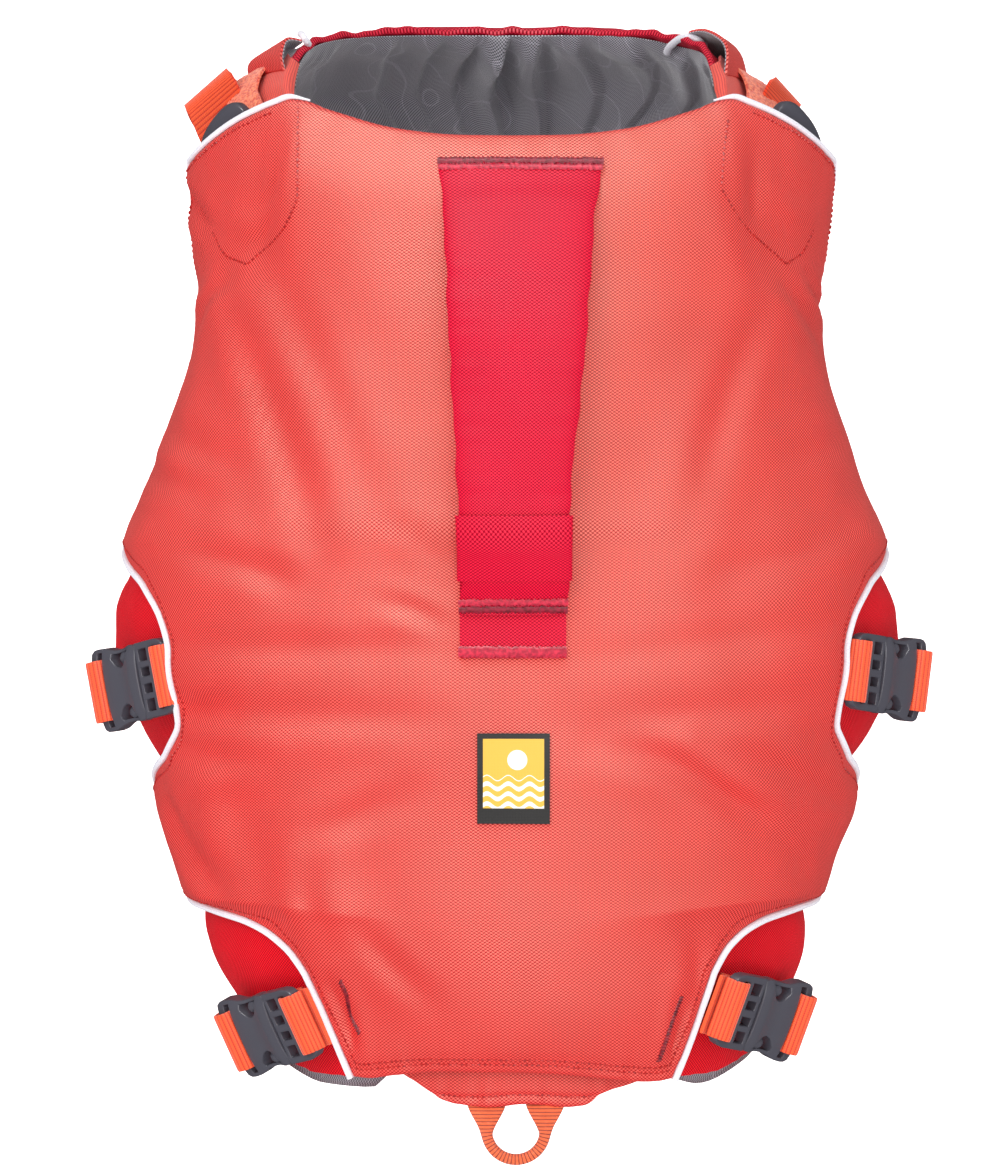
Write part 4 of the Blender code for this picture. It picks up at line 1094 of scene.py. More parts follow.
# %% Breast form
CHEST = (
    # y_mid   z_mid    shift    half    y_edge  z_edge  arc
    (0.2285, -0.148, -0.0030, 0.0850, 0.2000, -0.052, 84.0),
    (0.2235, -0.169, -0.0050, 0.0980, 0.1945, -0.082, 78.0),
    (0.2140, -0.190, -0.0050, 0.1035, 0.1870, -0.114, 70.0),
    (0.1980, -0.208, -0.0020, 0.0900, 0.1800, -0.150, 60.0),
    (0.1750, -0.222, -0.0004, 0.0690, 0.1650, -0.183, 48.0),
    (0.1460, -0.232, 0.0000, 0.0560, 0.1415, -0.210, 36.0),
    (0.1145, -0.2385, 0.0000, 0.0505, 0.1145, -0.2270, 25.0),
)
CHEST_BOW = (0.45, 1.4, 6.0)
CHEST_EDGE = 0.0030
CHEST_PAD = 0.0085
CHEST_LINING_GAP = 0.0017
CHEST_ROWS = [(k / (len(CHEST) - 1), *row) for k, row in enumerate(CHEST)]


def chest_form(u, v):
    """Points of the breast form: u across, -1 to 1, v from the throat rim to the seam."""
    y_mid, z_mid, shift, half, y_edge, z_edge, arc = (curve(CHEST_ROWS, v, c) for c in range(1, 8))
    arc = np.radians(arc)
    blend = (1 - np.cos(arc * u)) / (1 - np.cos(arc))
    share, bow, corner = CHEST_BOW
    clear = np.maximum(blend, 0.0)
    rim = share * clear ** bow + (1 - share) * clear ** corner
    reach = blend + (rim - blend) * (1 - np.clip(v, 0, 1)) ** 2
    x = shift + half * np.sin(arc * u) / np.sin(arc)
    return np.stack((x, y_mid + (y_edge - y_mid) * reach, z_mid + (z_edge - z_mid) * blend), axis=-1)


def chest(u, v, out=0.0):
    """Points so far out from the breast form."""
    u, v, out = np.broadcast_arrays(*(np.asarray(a, dtype=float) for a in (u, v, out)))
    across = chest_form(u + 0.02, v) - chest_form(u - 0.02, v)
    down = chest_form(u, np.minimum(v + 0.02, 1.0)) - chest_form(u, np.maximum(v - 0.02, 0.0))
    return chest_form(u, v) + unit(np.cross(across, down)) * out[..., None]


def chest_thick(u, v):
    """Thickness of the padded breast piece."""
    padded = (1 - rise(np.abs(u), 0.35, 0.62)) * ramp(v, 0.22) * ramp(1 - v, 0.2)
    return CHEST_EDGE + (CHEST_PAD - CHEST_EDGE) * padded


def flat_chest(u, v):
    """The breast piece's cloth map in metres."""
    return u * 0.14, v * 0.17


RIM_ROLL = 0.0020


def chest_face(u, v, outer):
    """Both faces of the breast piece, with a wavy rolled rim."""
    rim = np.exp(-((v / 0.05) ** 2))
    wave = (0.0007 * np.sin(31 * u + 2 * np.sin(9 * u)) + 0.0003 * np.sin(73 * u)) * rim
    edge = np.minimum(np.minimum(v, 1 - v) * 0.17, (1 - np.abs(u)) * 0.14)
    nearest = np.clip(edge, 0.0, RIM_ROLL)
    drop = RIM_ROLL - np.sqrt(RIM_ROLL ** 2 - (RIM_ROLL - nearest) ** 2)
    folds = np.minimum(soft_waves(u * 0.14, v * 0.17, 0.0004, 31), 0.0003) * ramp(edge, 0.02)
    if outer:
        return chest(u, v, chest_thick(u, v) + wave - 0.7 * drop + folds)
    return chest(u, v, wave * 0.6 + 0.3 * drop)


GATHERS = 13  # folds from side to side
GATHER_DEPTH = 0.0110
GATHER_SEED = 5
RIM_SHOWS = 0.045  # how much lower the lining starts beside the right sleeve


def pleats(phase, steep, seed):
    """Leaning folds, one a unit: each rises slowly, falls steeply and has a depth of its own."""
    number = np.floor(phase)
    part = phase - number
    up = np.where(part < 1 - steep, part / (1 - steep), (1 - part) / steep)
    depths = np.random.default_rng(seed).uniform(0.35, 1.0, 64)
    return up * up * (3 - 2 * up) * depths[number.astype(int) % 64]


def chest_lining_face(u, v, outer):
    """The breast lining: its folds start at the throat rim and fade out below."""
    u = 0.99 * u
    top = 0.004 + RIM_SHOWS * np.exp(-(((u - 0.68) / 0.16) ** 2))
    v = top + (1 - top) * v
    sway = u * (1 - 0.30 * v) + 0.035 * np.sin(5 * v + 7 * u) + 0.10 * v * v
    deep = pleats(GATHERS / 2 * (sway + 1.5) + 0.3 * np.sin(5 * u), 0.20, GATHER_SEED)
    small = pleats(GATHERS * 1.3 * (sway + 1.5) + 0.5 * np.sin(8 * u + 3 * v), 0.4, GATHER_SEED + 1)
    middle = 0.45 + 0.55 * np.exp(-(((u - 0.05) / 0.45) ** 2))
    fade = middle * (1 - 0.45 * v) * (1 - np.abs(u) ** 6) * ramp(v - top, 0.08)
    depth = GATHER_DEPTH * deep * fade + 0.0012 * small * fade * np.exp(-v / 0.4)
    depth = depth + soft_waves(u * 0.14, v * 0.17, 0.0006, 41) * ramp(v, 0.2)
    sewn = np.exp(-(v - top) / 0.03)
    gap = CHEST_LINING_GAP + (0.0002 - CHEST_LINING_GAP) * sewn
    thick = (LINING + np.maximum(depth, 0)) * (1 - 0.7 * sewn)
    return chest(u, v, -gap - (0 * u if outer else thick))


chest_piece = panel("breast_cloth", edge_rich(110, 0.28), 0.5 + 0.5 * edge_rich(80, 0.17),
                    chest_face, flat_chest, crimson_cloth, ["chest_panel"])
panel("breast_lining_cloth", np.linspace(-1, 1, 261), np.linspace(0, 1, 71),
      chest_lining_face, flat_chest, lining_cloth, ["chest_lining"])
print("breast piece and lining done")

# %% [markdown]
# ## Shoulders
# Each sleeve stands off its tongue and closes on it at a piped mouth. A ribbed band joins the sleeve
# to the panel behind it, with a patch of loop pile on it, and an orange strap goes round below.

# %% Sleeves, bands, pile and neck straps
SLEEVE = {"left": (0.82, 0.965, 0.0055), "right": (0.70, 0.975, 0.0050)}
SLEEVE_WALL = 0.0016
SLEEVE_V = (-0.010, 0.330)
SLEEVE_CLEAR = 0.0007
SLEEVE_REACH = 0.93
SLEEVE_SLANT = 0.07
SLEEVE_LEAN = 0.002
BAND_WALL = 0.0012
BAND_V = 0.32
PILE_WALL = 0.0016
PILE_PUFF = 0.0085


def over_rim(u, v, out):
    """The breast form, carried on over the throat rim and down inside it where v is below 0."""
    turn = np.clip(-v / 0.05, 0.0, 1.0) * 2.6
    reach = (out + 0.0006) / 2
    over = chest(u, np.maximum(v, 0.0), np.where(v < 0, reach - 0.0006 + reach * np.cos(turn), out))
    over[..., 2] += np.where(v < 0, reach * np.sin(turn), 0.0)
    return over


# The facing closes the left sleeve's mouth: its row on the breast form, its bow, its wall as a step
# of rows, and how far it stays inside the sleeve.
FACING_ROW, FACING_BOW, FACING_DEPTH, FACING_OFF = 0.010, 0.035, 0.006, 0.0003


def sleeve_shell(side):
    """A coral shoulder sleeve and the grey lining inside it."""
    sign = SIDES[side]
    mouth, rear, stand = SLEEVE[side]

    def at(part, v, out):
        arch = stand * np.sin(np.pi * SLEEVE_REACH * part) + SLEEVE_LEAN * np.sin(np.pi * part) * v
        arch = arch * (1 - 0.92 * rise(v, 0.45, 0.95))
        row = SLEEVE_V[0] + (SLEEVE_V[1] - SLEEVE_V[0]) * v
        u = mouth + (rear - SLEEVE_SLANT * v - mouth) * part
        dent = 0.0006 * np.sin(9 * part + 5 * v + sign) * np.sin(np.pi * part)
        return chest(sign * u, row, CHEST_EDGE + SLEEVE_CLEAR + arch + np.maximum(dent, -0.0005) + out)

    def flat(part, v):
        return part * (rear - mouth) * 0.14, v * 0.058

    def facing(part, width, deeper):
        row = FACING_ROW + FACING_BOW * np.sin(np.pi * width) + deeper
        low = chest(sign * (mouth + (rear - mouth) * part), row, CHEST_EDGE)
        high = at(part, (row - SLEEVE_V[0]) / (SLEEVE_V[1] - SLEEVE_V[0]), FACING_OFF)
        return low + (high - low) * width[..., None]

    panel(
        f"sleeve_cloth_{side}", np.linspace(0, 1, 31), np.linspace(0, 1, 37),
        lambda p, v, outer: at(p, v, SLEEVE_WALL if outer else 0.0005), flat,
        coral_cloth, [f"shoulder_sleeve_{side}"],
    )
    panel(
        f"sleeve_lining_{side}", np.linspace(0.02, 0.99, 31), np.linspace(0.01, 0.99, 37),
        lambda p, v, outer: at(p, v, 0.00045 if outer else -0.0001), flat,
        lining_cloth,
    )
    if side == "left":
        panel(
            "sleeve_facing_left", np.linspace(0.02, 0.97, 25), np.linspace(0, 1, 11),
            lambda p, w, outer: facing(p, w, 0.0 if outer else FACING_DEPTH),
            lambda p, w: (p * 0.03, w * 0.012), lining_cloth,
        )


def band_and_pile(side):
    """The ribbed band from a sleeve to the underside of the back panel, and the pile patch on it."""
    sign = SIDES[side]
    _, rear, _ = SLEEVE[side]
    lift = CHEST_EDGE + 2 * GAP

    def middle(part, v, out):
        start = rear - 0.05 - 0.06 * rise(v, 0.0, 0.06)
        u = start + (1.0 - start) * np.minimum(part * 2, 1.0)
        tongue = over_rim(sign * u, v, lift + out + 0.0012 * rise(part, 0.1, 0.4))
        turn = np.radians(42 + 40 * np.maximum(v, 0)) * sign
        under = trunk(0.1800 - 0.020 * v, turn, -4 * GAP - BAND_WALL + out)
        t = np.clip(part * 2 - 1, 0, 1)[..., None]
        return tongue * (1 - t) + under * t

    panel(
        f"band_cloth_{side}", np.linspace(0, 1, 25), np.linspace(-0.045, BAND_V, 45),
        lambda p, v, outer: middle(p, v, BAND_WALL if outer else 0.0),
        lambda p, v: (v * 0.16, p * 0.05), coral_band, [f"shoulder_band_{side}"],
    )
    above = BAND_WALL + 2 * GAP
    random = np.random.default_rng(17)

    def fuzz(p, v, outer):
        crown = PILE_WALL * (0.75 + 0.25 * np.sin(np.pi * p) * np.sin(np.pi * v))
        rough = random.uniform(-0.0003, 0.0003, np.shape(p)) if outer else 0.0
        puff = PILE_PUFF * np.sin(np.pi * (0.12 + 0.76 * p)) * rise(v, -0.3, 0.7)
        lift_here = above + puff + (crown + rough if outer else 0.0)
        return middle(0.24 + 0.56 * p, 0.085 + 0.225 * v, lift_here)

    panel(
        f"pile_cloth_{side}", np.linspace(0, 1, 41), np.linspace(0, 1, 49), fuzz,
        lambda p, v: (p * 0.02, v * 0.03), pile, [f"pile_patch_{side}"],
    )


NECK_STRAPS = {
    #    one edge x, y,  z        other edge x, y,  z
    "left": (
        (-0.1030, 0.1880, -0.0760, -0.1200, 0.1705, -0.0980),
        (-0.1085, 0.1965, -0.0730, -0.1270, 0.1810, -0.0930),
        (-0.1145, 0.2080, -0.0690, -0.1325, 0.1940, -0.0850),
        (-0.1160, 0.2100, -0.0750, -0.1338, 0.1955, -0.0900),
        (-0.1150, 0.2085, -0.0860, -0.1330, 0.1925, -0.1000),
        (-0.1100, 0.2040, -0.1020, -0.1290, 0.1860, -0.1130),
        (-0.1040, 0.1990, -0.1160, -0.1210, 0.1800, -0.1250),
    ),
    "right": (
        (0.0960, 0.1870, -0.0770, 0.1055, 0.1760, -0.0980),
        (0.1010, 0.1960, -0.0740, 0.1110, 0.1850, -0.0940),
        (0.1055, 0.2050, -0.0690, 0.1165, 0.1950, -0.0890),
        (0.1072, 0.2065, -0.0740, 0.1183, 0.1960, -0.0940),
        (0.1070, 0.2045, -0.0860, 0.1175, 0.1930, -0.1050),
        (0.1040, 0.2000, -0.1000, 0.1130, 0.1880, -0.1170),
        (0.1000, 0.1960, -0.1120, 0.1070, 0.1830, -0.1270),
    ),
}
WEB_W = 0.0250
WEB_T = 0.0016


def neck_strap(side):
    """The orange strap round the shoulder."""
    rungs = np.array(NECK_STRAPS[side])
    parts = np.arange(len(rungs))

    def at(part, width):
        front = np.stack([curve(list(zip(parts, rungs[:, k])), part) for k in range(3)], axis=-1)
        rear = np.stack([curve(list(zip(parts, rungs[:, k])), part) for k in range(3, 6)], axis=-1)
        return front + (rear - front) * width[..., None]

    def face(part, width, outer):
        ahead = at(np.minimum(part + 0.2, len(rungs) - 1), width) - at(np.maximum(part - 0.2, 0), width)
        across = at(part, np.ones_like(part)) - at(part, np.zeros_like(part))
        normal = unit(np.cross(ahead, across)) * SIDES[side]
        return at(part, width) + normal * (WEB_T / 2 if outer else -WEB_T / 2)

    panel(
        f"neck_strap_web_{side}", np.linspace(0, len(rungs) - 1, 41), np.linspace(0, 1, 17), face,
        lambda p, w: (p * 0.014, w * 0.024), orange_webbing, [f"neck_strap_{side}"],
    )


for side in SIDES:
    sleeve_shell(side)
    band_and_pile(side)
    neck_strap(side)

# %% [markdown]
# ## Piping
# A pale cord in a reflective film is sewn into the edges of the flaps, the scallops and the sleeves'
# mouths. It is a circle swept along the edge, just outside the cloth.

# %% Piping
PIPING_R = 0.0015
FLAP_PIPING_R = 0.0013


def edge_line(sign, bases, inset, out):
    """Points a little in from the back panel's side edge, and the surface's normals there."""
    width = np.radians(curve(SIDE_EDGE, bases)) * curve(FORM, bases)
    s = sign * (1 - inset / width)
    y, turn = back_place(bases, s)
    low, high = trunk(y, turn, out), trunk(y, turn, out + 0.001)
    return low, unit(high - low)


def sideways(points, normals, away, distance):
    """A line moved within the surface, away from the piece that it edges."""
    _, side = frames_along(points, normals)
    return points + side * away * np.reshape(distance, (-1, 1))


def fine_rows(start, end):
    """Rows between two places of the side edge, in order from the front to the rear."""
    rows = back_rows[(back_rows >= end) & (back_rows <= start)]
    return rows[::-1]


PIPING_HEIGHT = PAD_INNER + PAD_EDGE * 0.72
PIPING_OFF = PIPING_R * 0.95
# The line of each sleeve mouth's piping, where it crosses the throat rim, in metres.
MOUTHS = {
    "left": (
        (-0.0864, 0.2252, -0.086), (-0.0854, 0.2240, -0.081), (-0.0842, 0.2222, -0.079),
        (-0.0832, 0.2206, -0.082),
    ),
    "right": (
        (0.0640, 0.2192, -0.114), (0.0647, 0.2208, -0.110), (0.0664, 0.2224, -0.106),
        (0.0695, 0.2242, -0.101), (0.0731, 0.2245, -0.097), (0.0763, 0.2233, -0.096),
        (0.0793, 0.2211, -0.101),
    ),
}
SCALLOPS = {"front": (0.024, -0.085), "rear": (-0.116, HEM_Y)}
for side, sign in SIDES.items():
    for place, (start, end) in SCALLOPS.items():
        points, normals = edge_line(sign, fine_rows(start, end), 0.0, PIPING_HEIGHT)
        points = sideways(points, normals, -sign, PIPING_OFF)
        tube(f"{place}_scallop_bead_{side}", points, normals, PIPING_R, piping,
             [f"{place}_scallop_piping_{side}"])
    corner_s = np.linspace(0.45, 1.0, 66)
    y, turn = back_place(np.full(66, FRONT_Y), corner_s * sign)
    flap = trunk(y, turn, PIPING_HEIGHT)
    flap_normals = unit(trunk(y, turn, PIPING_HEIGHT + 0.001) - flap)
    down, down_normals = edge_line(sign, np.linspace(FRONT_Y - 0.001, 0.163, 10), 0.0, PIPING_HEIGHT)
    points = np.vstack((flap, down))
    normals = np.vstack((flap_normals, down_normals))
    slim = FLAP_PIPING_R * (0.35 + 0.65 * rise(np.arange(len(points)), 0, 9))
    slim *= 1 - 0.5 * rise(np.arange(len(points)), len(points) - 5, len(points) - 1)
    points = sideways(points, normals, -sign, PIPING_OFF * slim / PIPING_R)
    tube(f"flap_bead_{side}", points, normals, slim, piping,
         [f"flap_piping_{side}"])
    points = smooth_line(MOUTHS[side], 0.0012)
    normals = unit(points - points.mean(axis=0) + (0.0, 0.0, 0.008))
    tube(f"sleeve_bead_{side}", points, normals, PIPING_R, piping,
         [f"sleeve_piping_{side}"])
print("piping done")

# %% [markdown]
# ## Side-release buckles
# Each buckle is two moulded parts. The socket has a waist where the fingers press the prongs, and a
# bar for the lower strap. The insert is a rounded frame with prongs, whose bar holds the upper strap.
# Each starts as a grid, with cells deleted for the slots, is extruded, and gets a bevel all round.

# %% Side buckles
BUCKLES = {
    #               y       turn  twist  tip  roll  lift    strap start
    "front_left": (-0.0400, 65.6, 7.6, 6.3, -8.5, -0.0018, 52.0),
    "front_right": (-0.0370, 67.2, 4.6, 5.3, -7.5, -0.0016, 53.5),
    "rear_left": (-0.1780, 57.0, 11.0, 0.0, 0.0, 0.0013, 43.4),
    "rear_right": (-0.1725, 57.0, 9.0, 0.0, 0.0, 0.0013, 42.5),
}
BODY_L, BODY_T = 0.0295, 0.0088
FRAME_L, FRAME_W, FRAME_T = 0.0190, 0.0312, 0.0050
BODY_OUTLINE = (
    # along   half width
    (0.0000, 0.0140),
    (0.0015, 0.0154),
    (0.0045, 0.0157),
    (0.0075, 0.0154),
    (0.0105, 0.0150),
    (0.0135, 0.0150),
    (0.0165, 0.0155),
    (0.0190, 0.0163),
    (0.0210, 0.0168),
    (0.0250, 0.0171),
    (0.0280, 0.0168),
    (0.0295, 0.0158),
)


def buckle_axes(y, turn, twist, tip, roll, lift):
    """Origin, direction along the strap, across it and out of the surface, as the buckle lies."""
    side = 1 if turn > 0 else -1
    here = Vector(trunk(y, turn))
    up = (Vector(trunk(y, turn, 0.001)) - here).normalized()
    down = (Vector(trunk(y, turn + 0.02 * side)) - here).normalized()
    rear = up.cross(down).normalized() * side
    if rear.y > 0:
        rear = -rear
    along = (down * math.cos(twist) + rear * math.sin(twist)).normalized()
    along = (along * math.cos(tip) + up * math.sin(tip)).normalized()
    across = up.cross(along).normalized()
    face = along.cross(across).normalized()
    rolled = (across * math.cos(roll * side) + face * math.sin(roll * side)).normalized()
    return here + up * lift, along, rolled, along.cross(rolled).normalized()


def moulded(bm, xs, ys, holes, shape, thick, axes):
    """Adds a moulded plate with slots to a bmesh; shape(x, y) gives its place and its crown."""
    origin, along, across, up = axes
    made = bmesh.ops.create_grid(bm, x_segments=len(xs) - 1, y_segments=len(ys) - 1, size=0.5)
    verts = made["verts"]
    cell = {}
    for v in verts:
        col = round((v.co.x + 0.5) * (len(xs) - 1))
        row = round((v.co.y + 0.5) * (len(ys) - 1))
        cell[v] = (col, row)
    faces = {f for v in verts for f in v.link_faces}
    gone = [f for f in faces
            if (min(cell[v][1] for v in f.verts), min(cell[v][0] for v in f.verts)) in holes]
    bmesh.ops.delete(bm, geom=gone, context="FACES")
    faces = list({f for v in verts if v.is_valid for f in v.link_faces})
    extruded = bmesh.ops.extrude_face_region(bm, geom=faces, use_keep_orig=True)["geom"]
    top = [g for g in extruded if isinstance(g, bmesh.types.BMVert)]
    grid = {tuple(v.co): cell[v] for v in verts if v.is_valid}
    low = [v for v in verts if v.is_valid]
    for group, is_top in ((top, True), (low, False)):
        for v in group:
            col, row = grid[tuple(v.co)]
            x, y, crown = shape(xs[col], ys[row])
            rise_here = thick * crown if is_top else thick * (1 - crown) * 0.5
            v.co = origin + across * x + along * y + up * rise_here
    bmesh.ops.recalc_face_normals(bm, faces=bm.faces)


def rounded(piece, width, segments=3):
    """A live bevel that rounds the moulded edges."""
    bevel = piece.modifiers.new("mould radius", "BEVEL")
    bevel.width = width
    bevel.segments = segments
    bevel.limit_method = "ANGLE"
    bevel.angle_limit = math.radians(38)
    bevel.harden_normals = False


def webbing(name, path, across, width, thick, replaces, step=0.0012):
    """A flat strap along a smooth path, as a panel bent along it."""
    path = np.array([tuple(p) for p in path])
    fine = smooth_line(path, step)
    for _ in range(3):
        fine[1:-1] = (fine[:-2] + 2 * fine[1:-1] + fine[2:]) / 4
    across = np.array(tuple(across.normalized()))
    along, _ = frames_along(fine, np.tile(across, (len(fine), 1)))
    ups = unit(np.cross(across, along))
    length = np.concatenate(([0], np.cumsum(np.linalg.norm(np.diff(fine, axis=0), axis=1))))

    def face(k, w, outer):
        row = k.astype(int)
        edge = 1 - 0.35 * np.clip((np.abs(w) - 0.9) / 0.1, 0, 1) ** 2
        side = 1 if outer else -1
        return fine[row] + across * (w * width / 2)[:, None] + ups[row] * (side * thick / 2 * edge)[:, None]

    return panel(
        name, np.arange(len(fine)), np.array([-1, -0.96, -0.9, -0.5, 0, 0.5, 0.9, 0.96, 1]), face,
        lambda k, w: (length[k.astype(int)], w * width / 2), orange_webbing, replaces,
    )


def side_buckle(name):
    """A fastened side-release buckle with its two straps."""
    y, turn, twist, tip, roll, lift, start = BUCKLES[name]
    sign = SIDES[name.split("_")[1]]
    turn = math.radians(turn) * sign
    origin, along, across, up = buckle_axes(y, turn, *map(math.radians, (twist, tip, roll)), lift)
    body_origin = origin - along * 0.004
    half_xs = [0.0, 0.2, 0.40, 0.50, 0.60, 0.70, 0.80, 0.90, 0.96, 1.0]
    xs = [-x for x in reversed(half_xs[1:])] + half_xs
    last = len(xs) - 2
    ys = [0, 0.0010, 0.0025, 0.0042, 0.0056, 0.0074, 0.0092, 0.0110, 0.0128, 0.0142, 0.0160, 0.0190,
          0.0210, 0.0218, 0.0253, 0.0275, 0.0295]
    slot = {(13, c) for c in range(2, last - 1)}
    slot |= {(row, c) for row in range(4, 10) for c in (2, 3, 4, 5, last - 2, last - 3, last - 4, last - 5)}

    def body_shape(x, y):
        half = float(curve(BODY_OUTLINE, y))
        swell = 1 - 0.20 * abs(x) ** 3 - 0.12 * max(0.0, 1 - y / 0.004)
        near = math.exp(-(((y - 0.0100) / 0.0058) ** 2))
        away = abs(y - 0.0108) / 0.0052
        arch = away * away if away < 1 else max(0.0, 2 - away)
        pull = min((abs(x) - 0.2) / 0.3, (0.9 - abs(x)) / 0.4)
        x += math.copysign(0.26 * arch * max(0.0, pull), x)
        return x * half, y, swell * (1 - (0.10 + 0.20 * abs(x) ** 2) * near)

    bm = bmesh.new()
    moulded(bm, xs, ys, slot, body_shape, BODY_T, (body_origin, along, across, up))
    body = finished(f"socket_{name}", bm, acetal, [f"buckle_body_{name}"], 60)
    rounded(body, 0.0009)

    frame_origin = body_origin - along * (FRAME_L + GAP) + up * 0.0018
    cols = [-1, -0.94, -0.82, -0.50, -0.34, -0.10, 0.10, 0.34, 0.50, 0.82, 0.94, 1]
    rows = [0, 0.0008, 0.0020, 0.0054, 0.0092, 0.0112, 0.0172, 0.0180, FRAME_L]
    gaps = {(3, c) for c in range(2, 9)}
    gaps |= {(5, c) for c in (2, 4, 6, 8)}

    def frame_shape(x, y):
        corner = 1 - 0.17 * max(0.0, 1 - y / 0.0045) ** 2
        return x * corner * FRAME_W / 2, y, 1 - 0.12 * max(0.0, 0.5 - y / FRAME_L)

    bm = bmesh.new()
    moulded(bm, cols, rows, gaps, frame_shape, FRAME_T, (frame_origin, along, across, up))
    for way in (-1, 1):
        button = body_origin + along * 0.0094 + across * (way * 0.0112) + up * (BODY_T * 0.40)
        turned = Matrix((across * 0.0030, along * 0.0040, up * 0.0030)).transposed().to_4x4()
        turned.translation = button
        bmesh.ops.create_uvsphere(bm, u_segments=14, v_segments=9, radius=1.0, matrix=turned)
    insert = finished(f"insert_{name}", bm, acetal, [f"buckle_insert_{name}"], 60)
    rounded(insert, 0.0008)

    def at(length, height):
        return origin + along * length + up * height

    def run(degrees, height):
        place, here = None, y
        for _ in range(6):
            place = Vector(trunk(here, math.radians(degrees) * sign, height))
            here -= (place - origin).dot(across) / across.y
        return place

    half = WEB_T / 2
    bar = (frame_origin - origin).dot(along)
    under = 0.0018 - GAP - half
    over = 0.0018 + FRAME_T + GAP + half
    upper = [run(d, 0.0006 + half) for d in np.linspace(start, start + 5, 4)]
    upper += [at(bar - 0.004, under), at(bar + 0.0058, under), at(bar + 0.0078, 0.0024)]
    upper += [at(bar + 0.0078, over - 0.0012), at(bar + 0.0060, over + 0.0004)]
    upper += [at(bar + 0.0018, over - 0.0004), at(bar - 0.0002, over - 0.0030)]
    upper += [at(bar - 0.0014, over - 0.0058)]
    webbing(f"upper_web_{name}", upper, across, WEB_W, WEB_T, [f"strap_upper_{name}"])
    end = -0.004 + BODY_L
    hole = end - 0.0066
    lower = [at(end - 0.020, -GAP - half), at(hole - 0.0010, -GAP - half), at(hole, 0.0012)]
    lower += [at(hole, BODY_T - 0.0006), at(hole + 0.0014, BODY_T + 0.0016)]
    lower += [at(end, BODY_T + 0.0016), at(end + 0.0017, BODY_T - 0.0004)]
    lower += [at(end + 0.0018, 0.0030), at(end + 0.0022, 0.0)]
    base = math.degrees(abs(turn)) + math.degrees((end + 0.004) / float(curve(FORM, y)))
    lower += [run(base + d, 0.0010 + half) for d in np.linspace(3, 20, 6)]
    webbing(f"lower_web_{name}", lower, across, WEB_W, WEB_T, [f"strap_lower_{name}"])


for name in BUCKLES:
    side_buckle(name)

CLOSURE = {"left": (0.845, 0.165), "right": (0.830, 0.155)}  # middle and half length along the flap's edge
CLIP_FRONT, CLIP_HIDDEN, CLIP_THICK, CLIP_DEPTH = 0.0118, 0.0090, 0.0070, -0.0016


def neck_buckle(side):
    """The neck buckle: a long rounded plate under the shoulder flap, bent along its edge."""
    sign = SIDES[side]
    middle, reach = CLOSURE[side]

    def face(p, q, outer):
        wide = np.sqrt(np.maximum(1 - np.abs(p) ** 3, 0.0))
        bow = 1 - 0.25 * p
        away = np.where(q > 0, CLIP_FRONT * bow, CLIP_HIDDEN) * q * wide
        y, turn = back_place(np.full(np.shape(p), FRONT_Y), (middle + reach * p) * sign)
        edge = np.sqrt(np.maximum(1 - np.maximum(np.abs(p), np.abs(q)) ** 4, 0.0))
        level = 0.62 + 0.38 * edge if outer else 0.30 * (1 - edge)
        return trunk(y + away, turn, -CLIP_DEPTH - CLIP_THICK * (1 - level))

    piece = panel(
        f"neck_clip_{side}", np.sin(np.linspace(-np.pi / 2, np.pi / 2, 41)),
        np.sin(np.linspace(-np.pi / 2, np.pi / 2, 21)), face, lambda p, q: (p * 0.019, q * 0.009),
        acetal, [f"neck_buckle_{side}"],
    )
    rounded(piece, 0.0005, 2)


for side in SIDES:
    neck_buckle(side)
print("buckles done")

# %% [markdown]
# ## The grab handle
# A broad strap of raspberry nylon arches over the spine. It is sewn down at both ends with dense
# satin stitches, which are real threads here: hundreds of small beads side by side.

# %% Handle, wrap and its foot
HANDLE = (
    # y       left     right   lift    wall
    (-0.0115, -0.0208, 0.0218, 0.0024, 0.0022),
    (-0.0060, -0.0208, 0.0220, 0.0026, 0.0024),
    (0.0010, -0.0205, 0.0225, 0.0055, 0.0040),
    (0.0140, -0.0205, 0.0225, 0.0100, 0.0046),
    (0.0270, -0.0212, 0.0228, 0.0125, 0.0046),
    (0.0500, -0.0224, 0.0245, 0.0140, 0.0048),
    (0.0800, -0.0242, 0.0280, 0.0145, 0.0050),
    (0.1100, -0.0258, 0.0305, 0.0130, 0.0050),
    (0.1340, -0.0268, 0.0322, 0.0085, 0.0046),
    (0.1500, -0.0278, 0.0336, 0.0035, 0.0036),
    (0.1600, -0.0288, 0.0352, 0.0005, 0.0026),
    (0.1685, -0.0292, 0.0362, 0.0004, 0.0022),
)
WRAP_Y = (0.0020, 0.0270)
WRAP_WALL = 0.0012
WRAP_CLEAR = 0.0003
BASE_Y = (-0.0285, 0.0060)
BASE_HALF = 0.0212


def handle_row(y):
    """Left edge, right edge, lift and wall of the handle at y."""
    return tuple(curve(HANDLE, y, c) for c in range(1, 5))


def handle_place(w, y, outer):
    """Both faces of the handle, round at its edges and faintly rippled along them."""
    left, right, lift, thick = handle_row(y)
    uneven = np.sin(2 * np.pi * y / 0.031 + np.sign(w)) + np.sin(2 * np.pi * y / 0.0172 + 2 * np.sign(w))
    wobble = 0.00025 * uneven * rise(np.abs(w), 0.7, 1.0)
    x = (left + right) / 2 + w * (right - left) / 2 + wobble * np.sign(w)
    edge = np.sqrt(np.clip(1 - np.abs(w) ** 6, 0, 1))
    middle = lift + thick / 2
    relief = soft_waves(x, y, 0.00018, 51) + puckers((1 - np.abs(w)) * 0.02, y, 0.006, 0.0003, 12)
    height = middle + (thick / 2 * edge + relief * edge if outer else -thick / 2 * edge)
    return back_top(x, y, height)


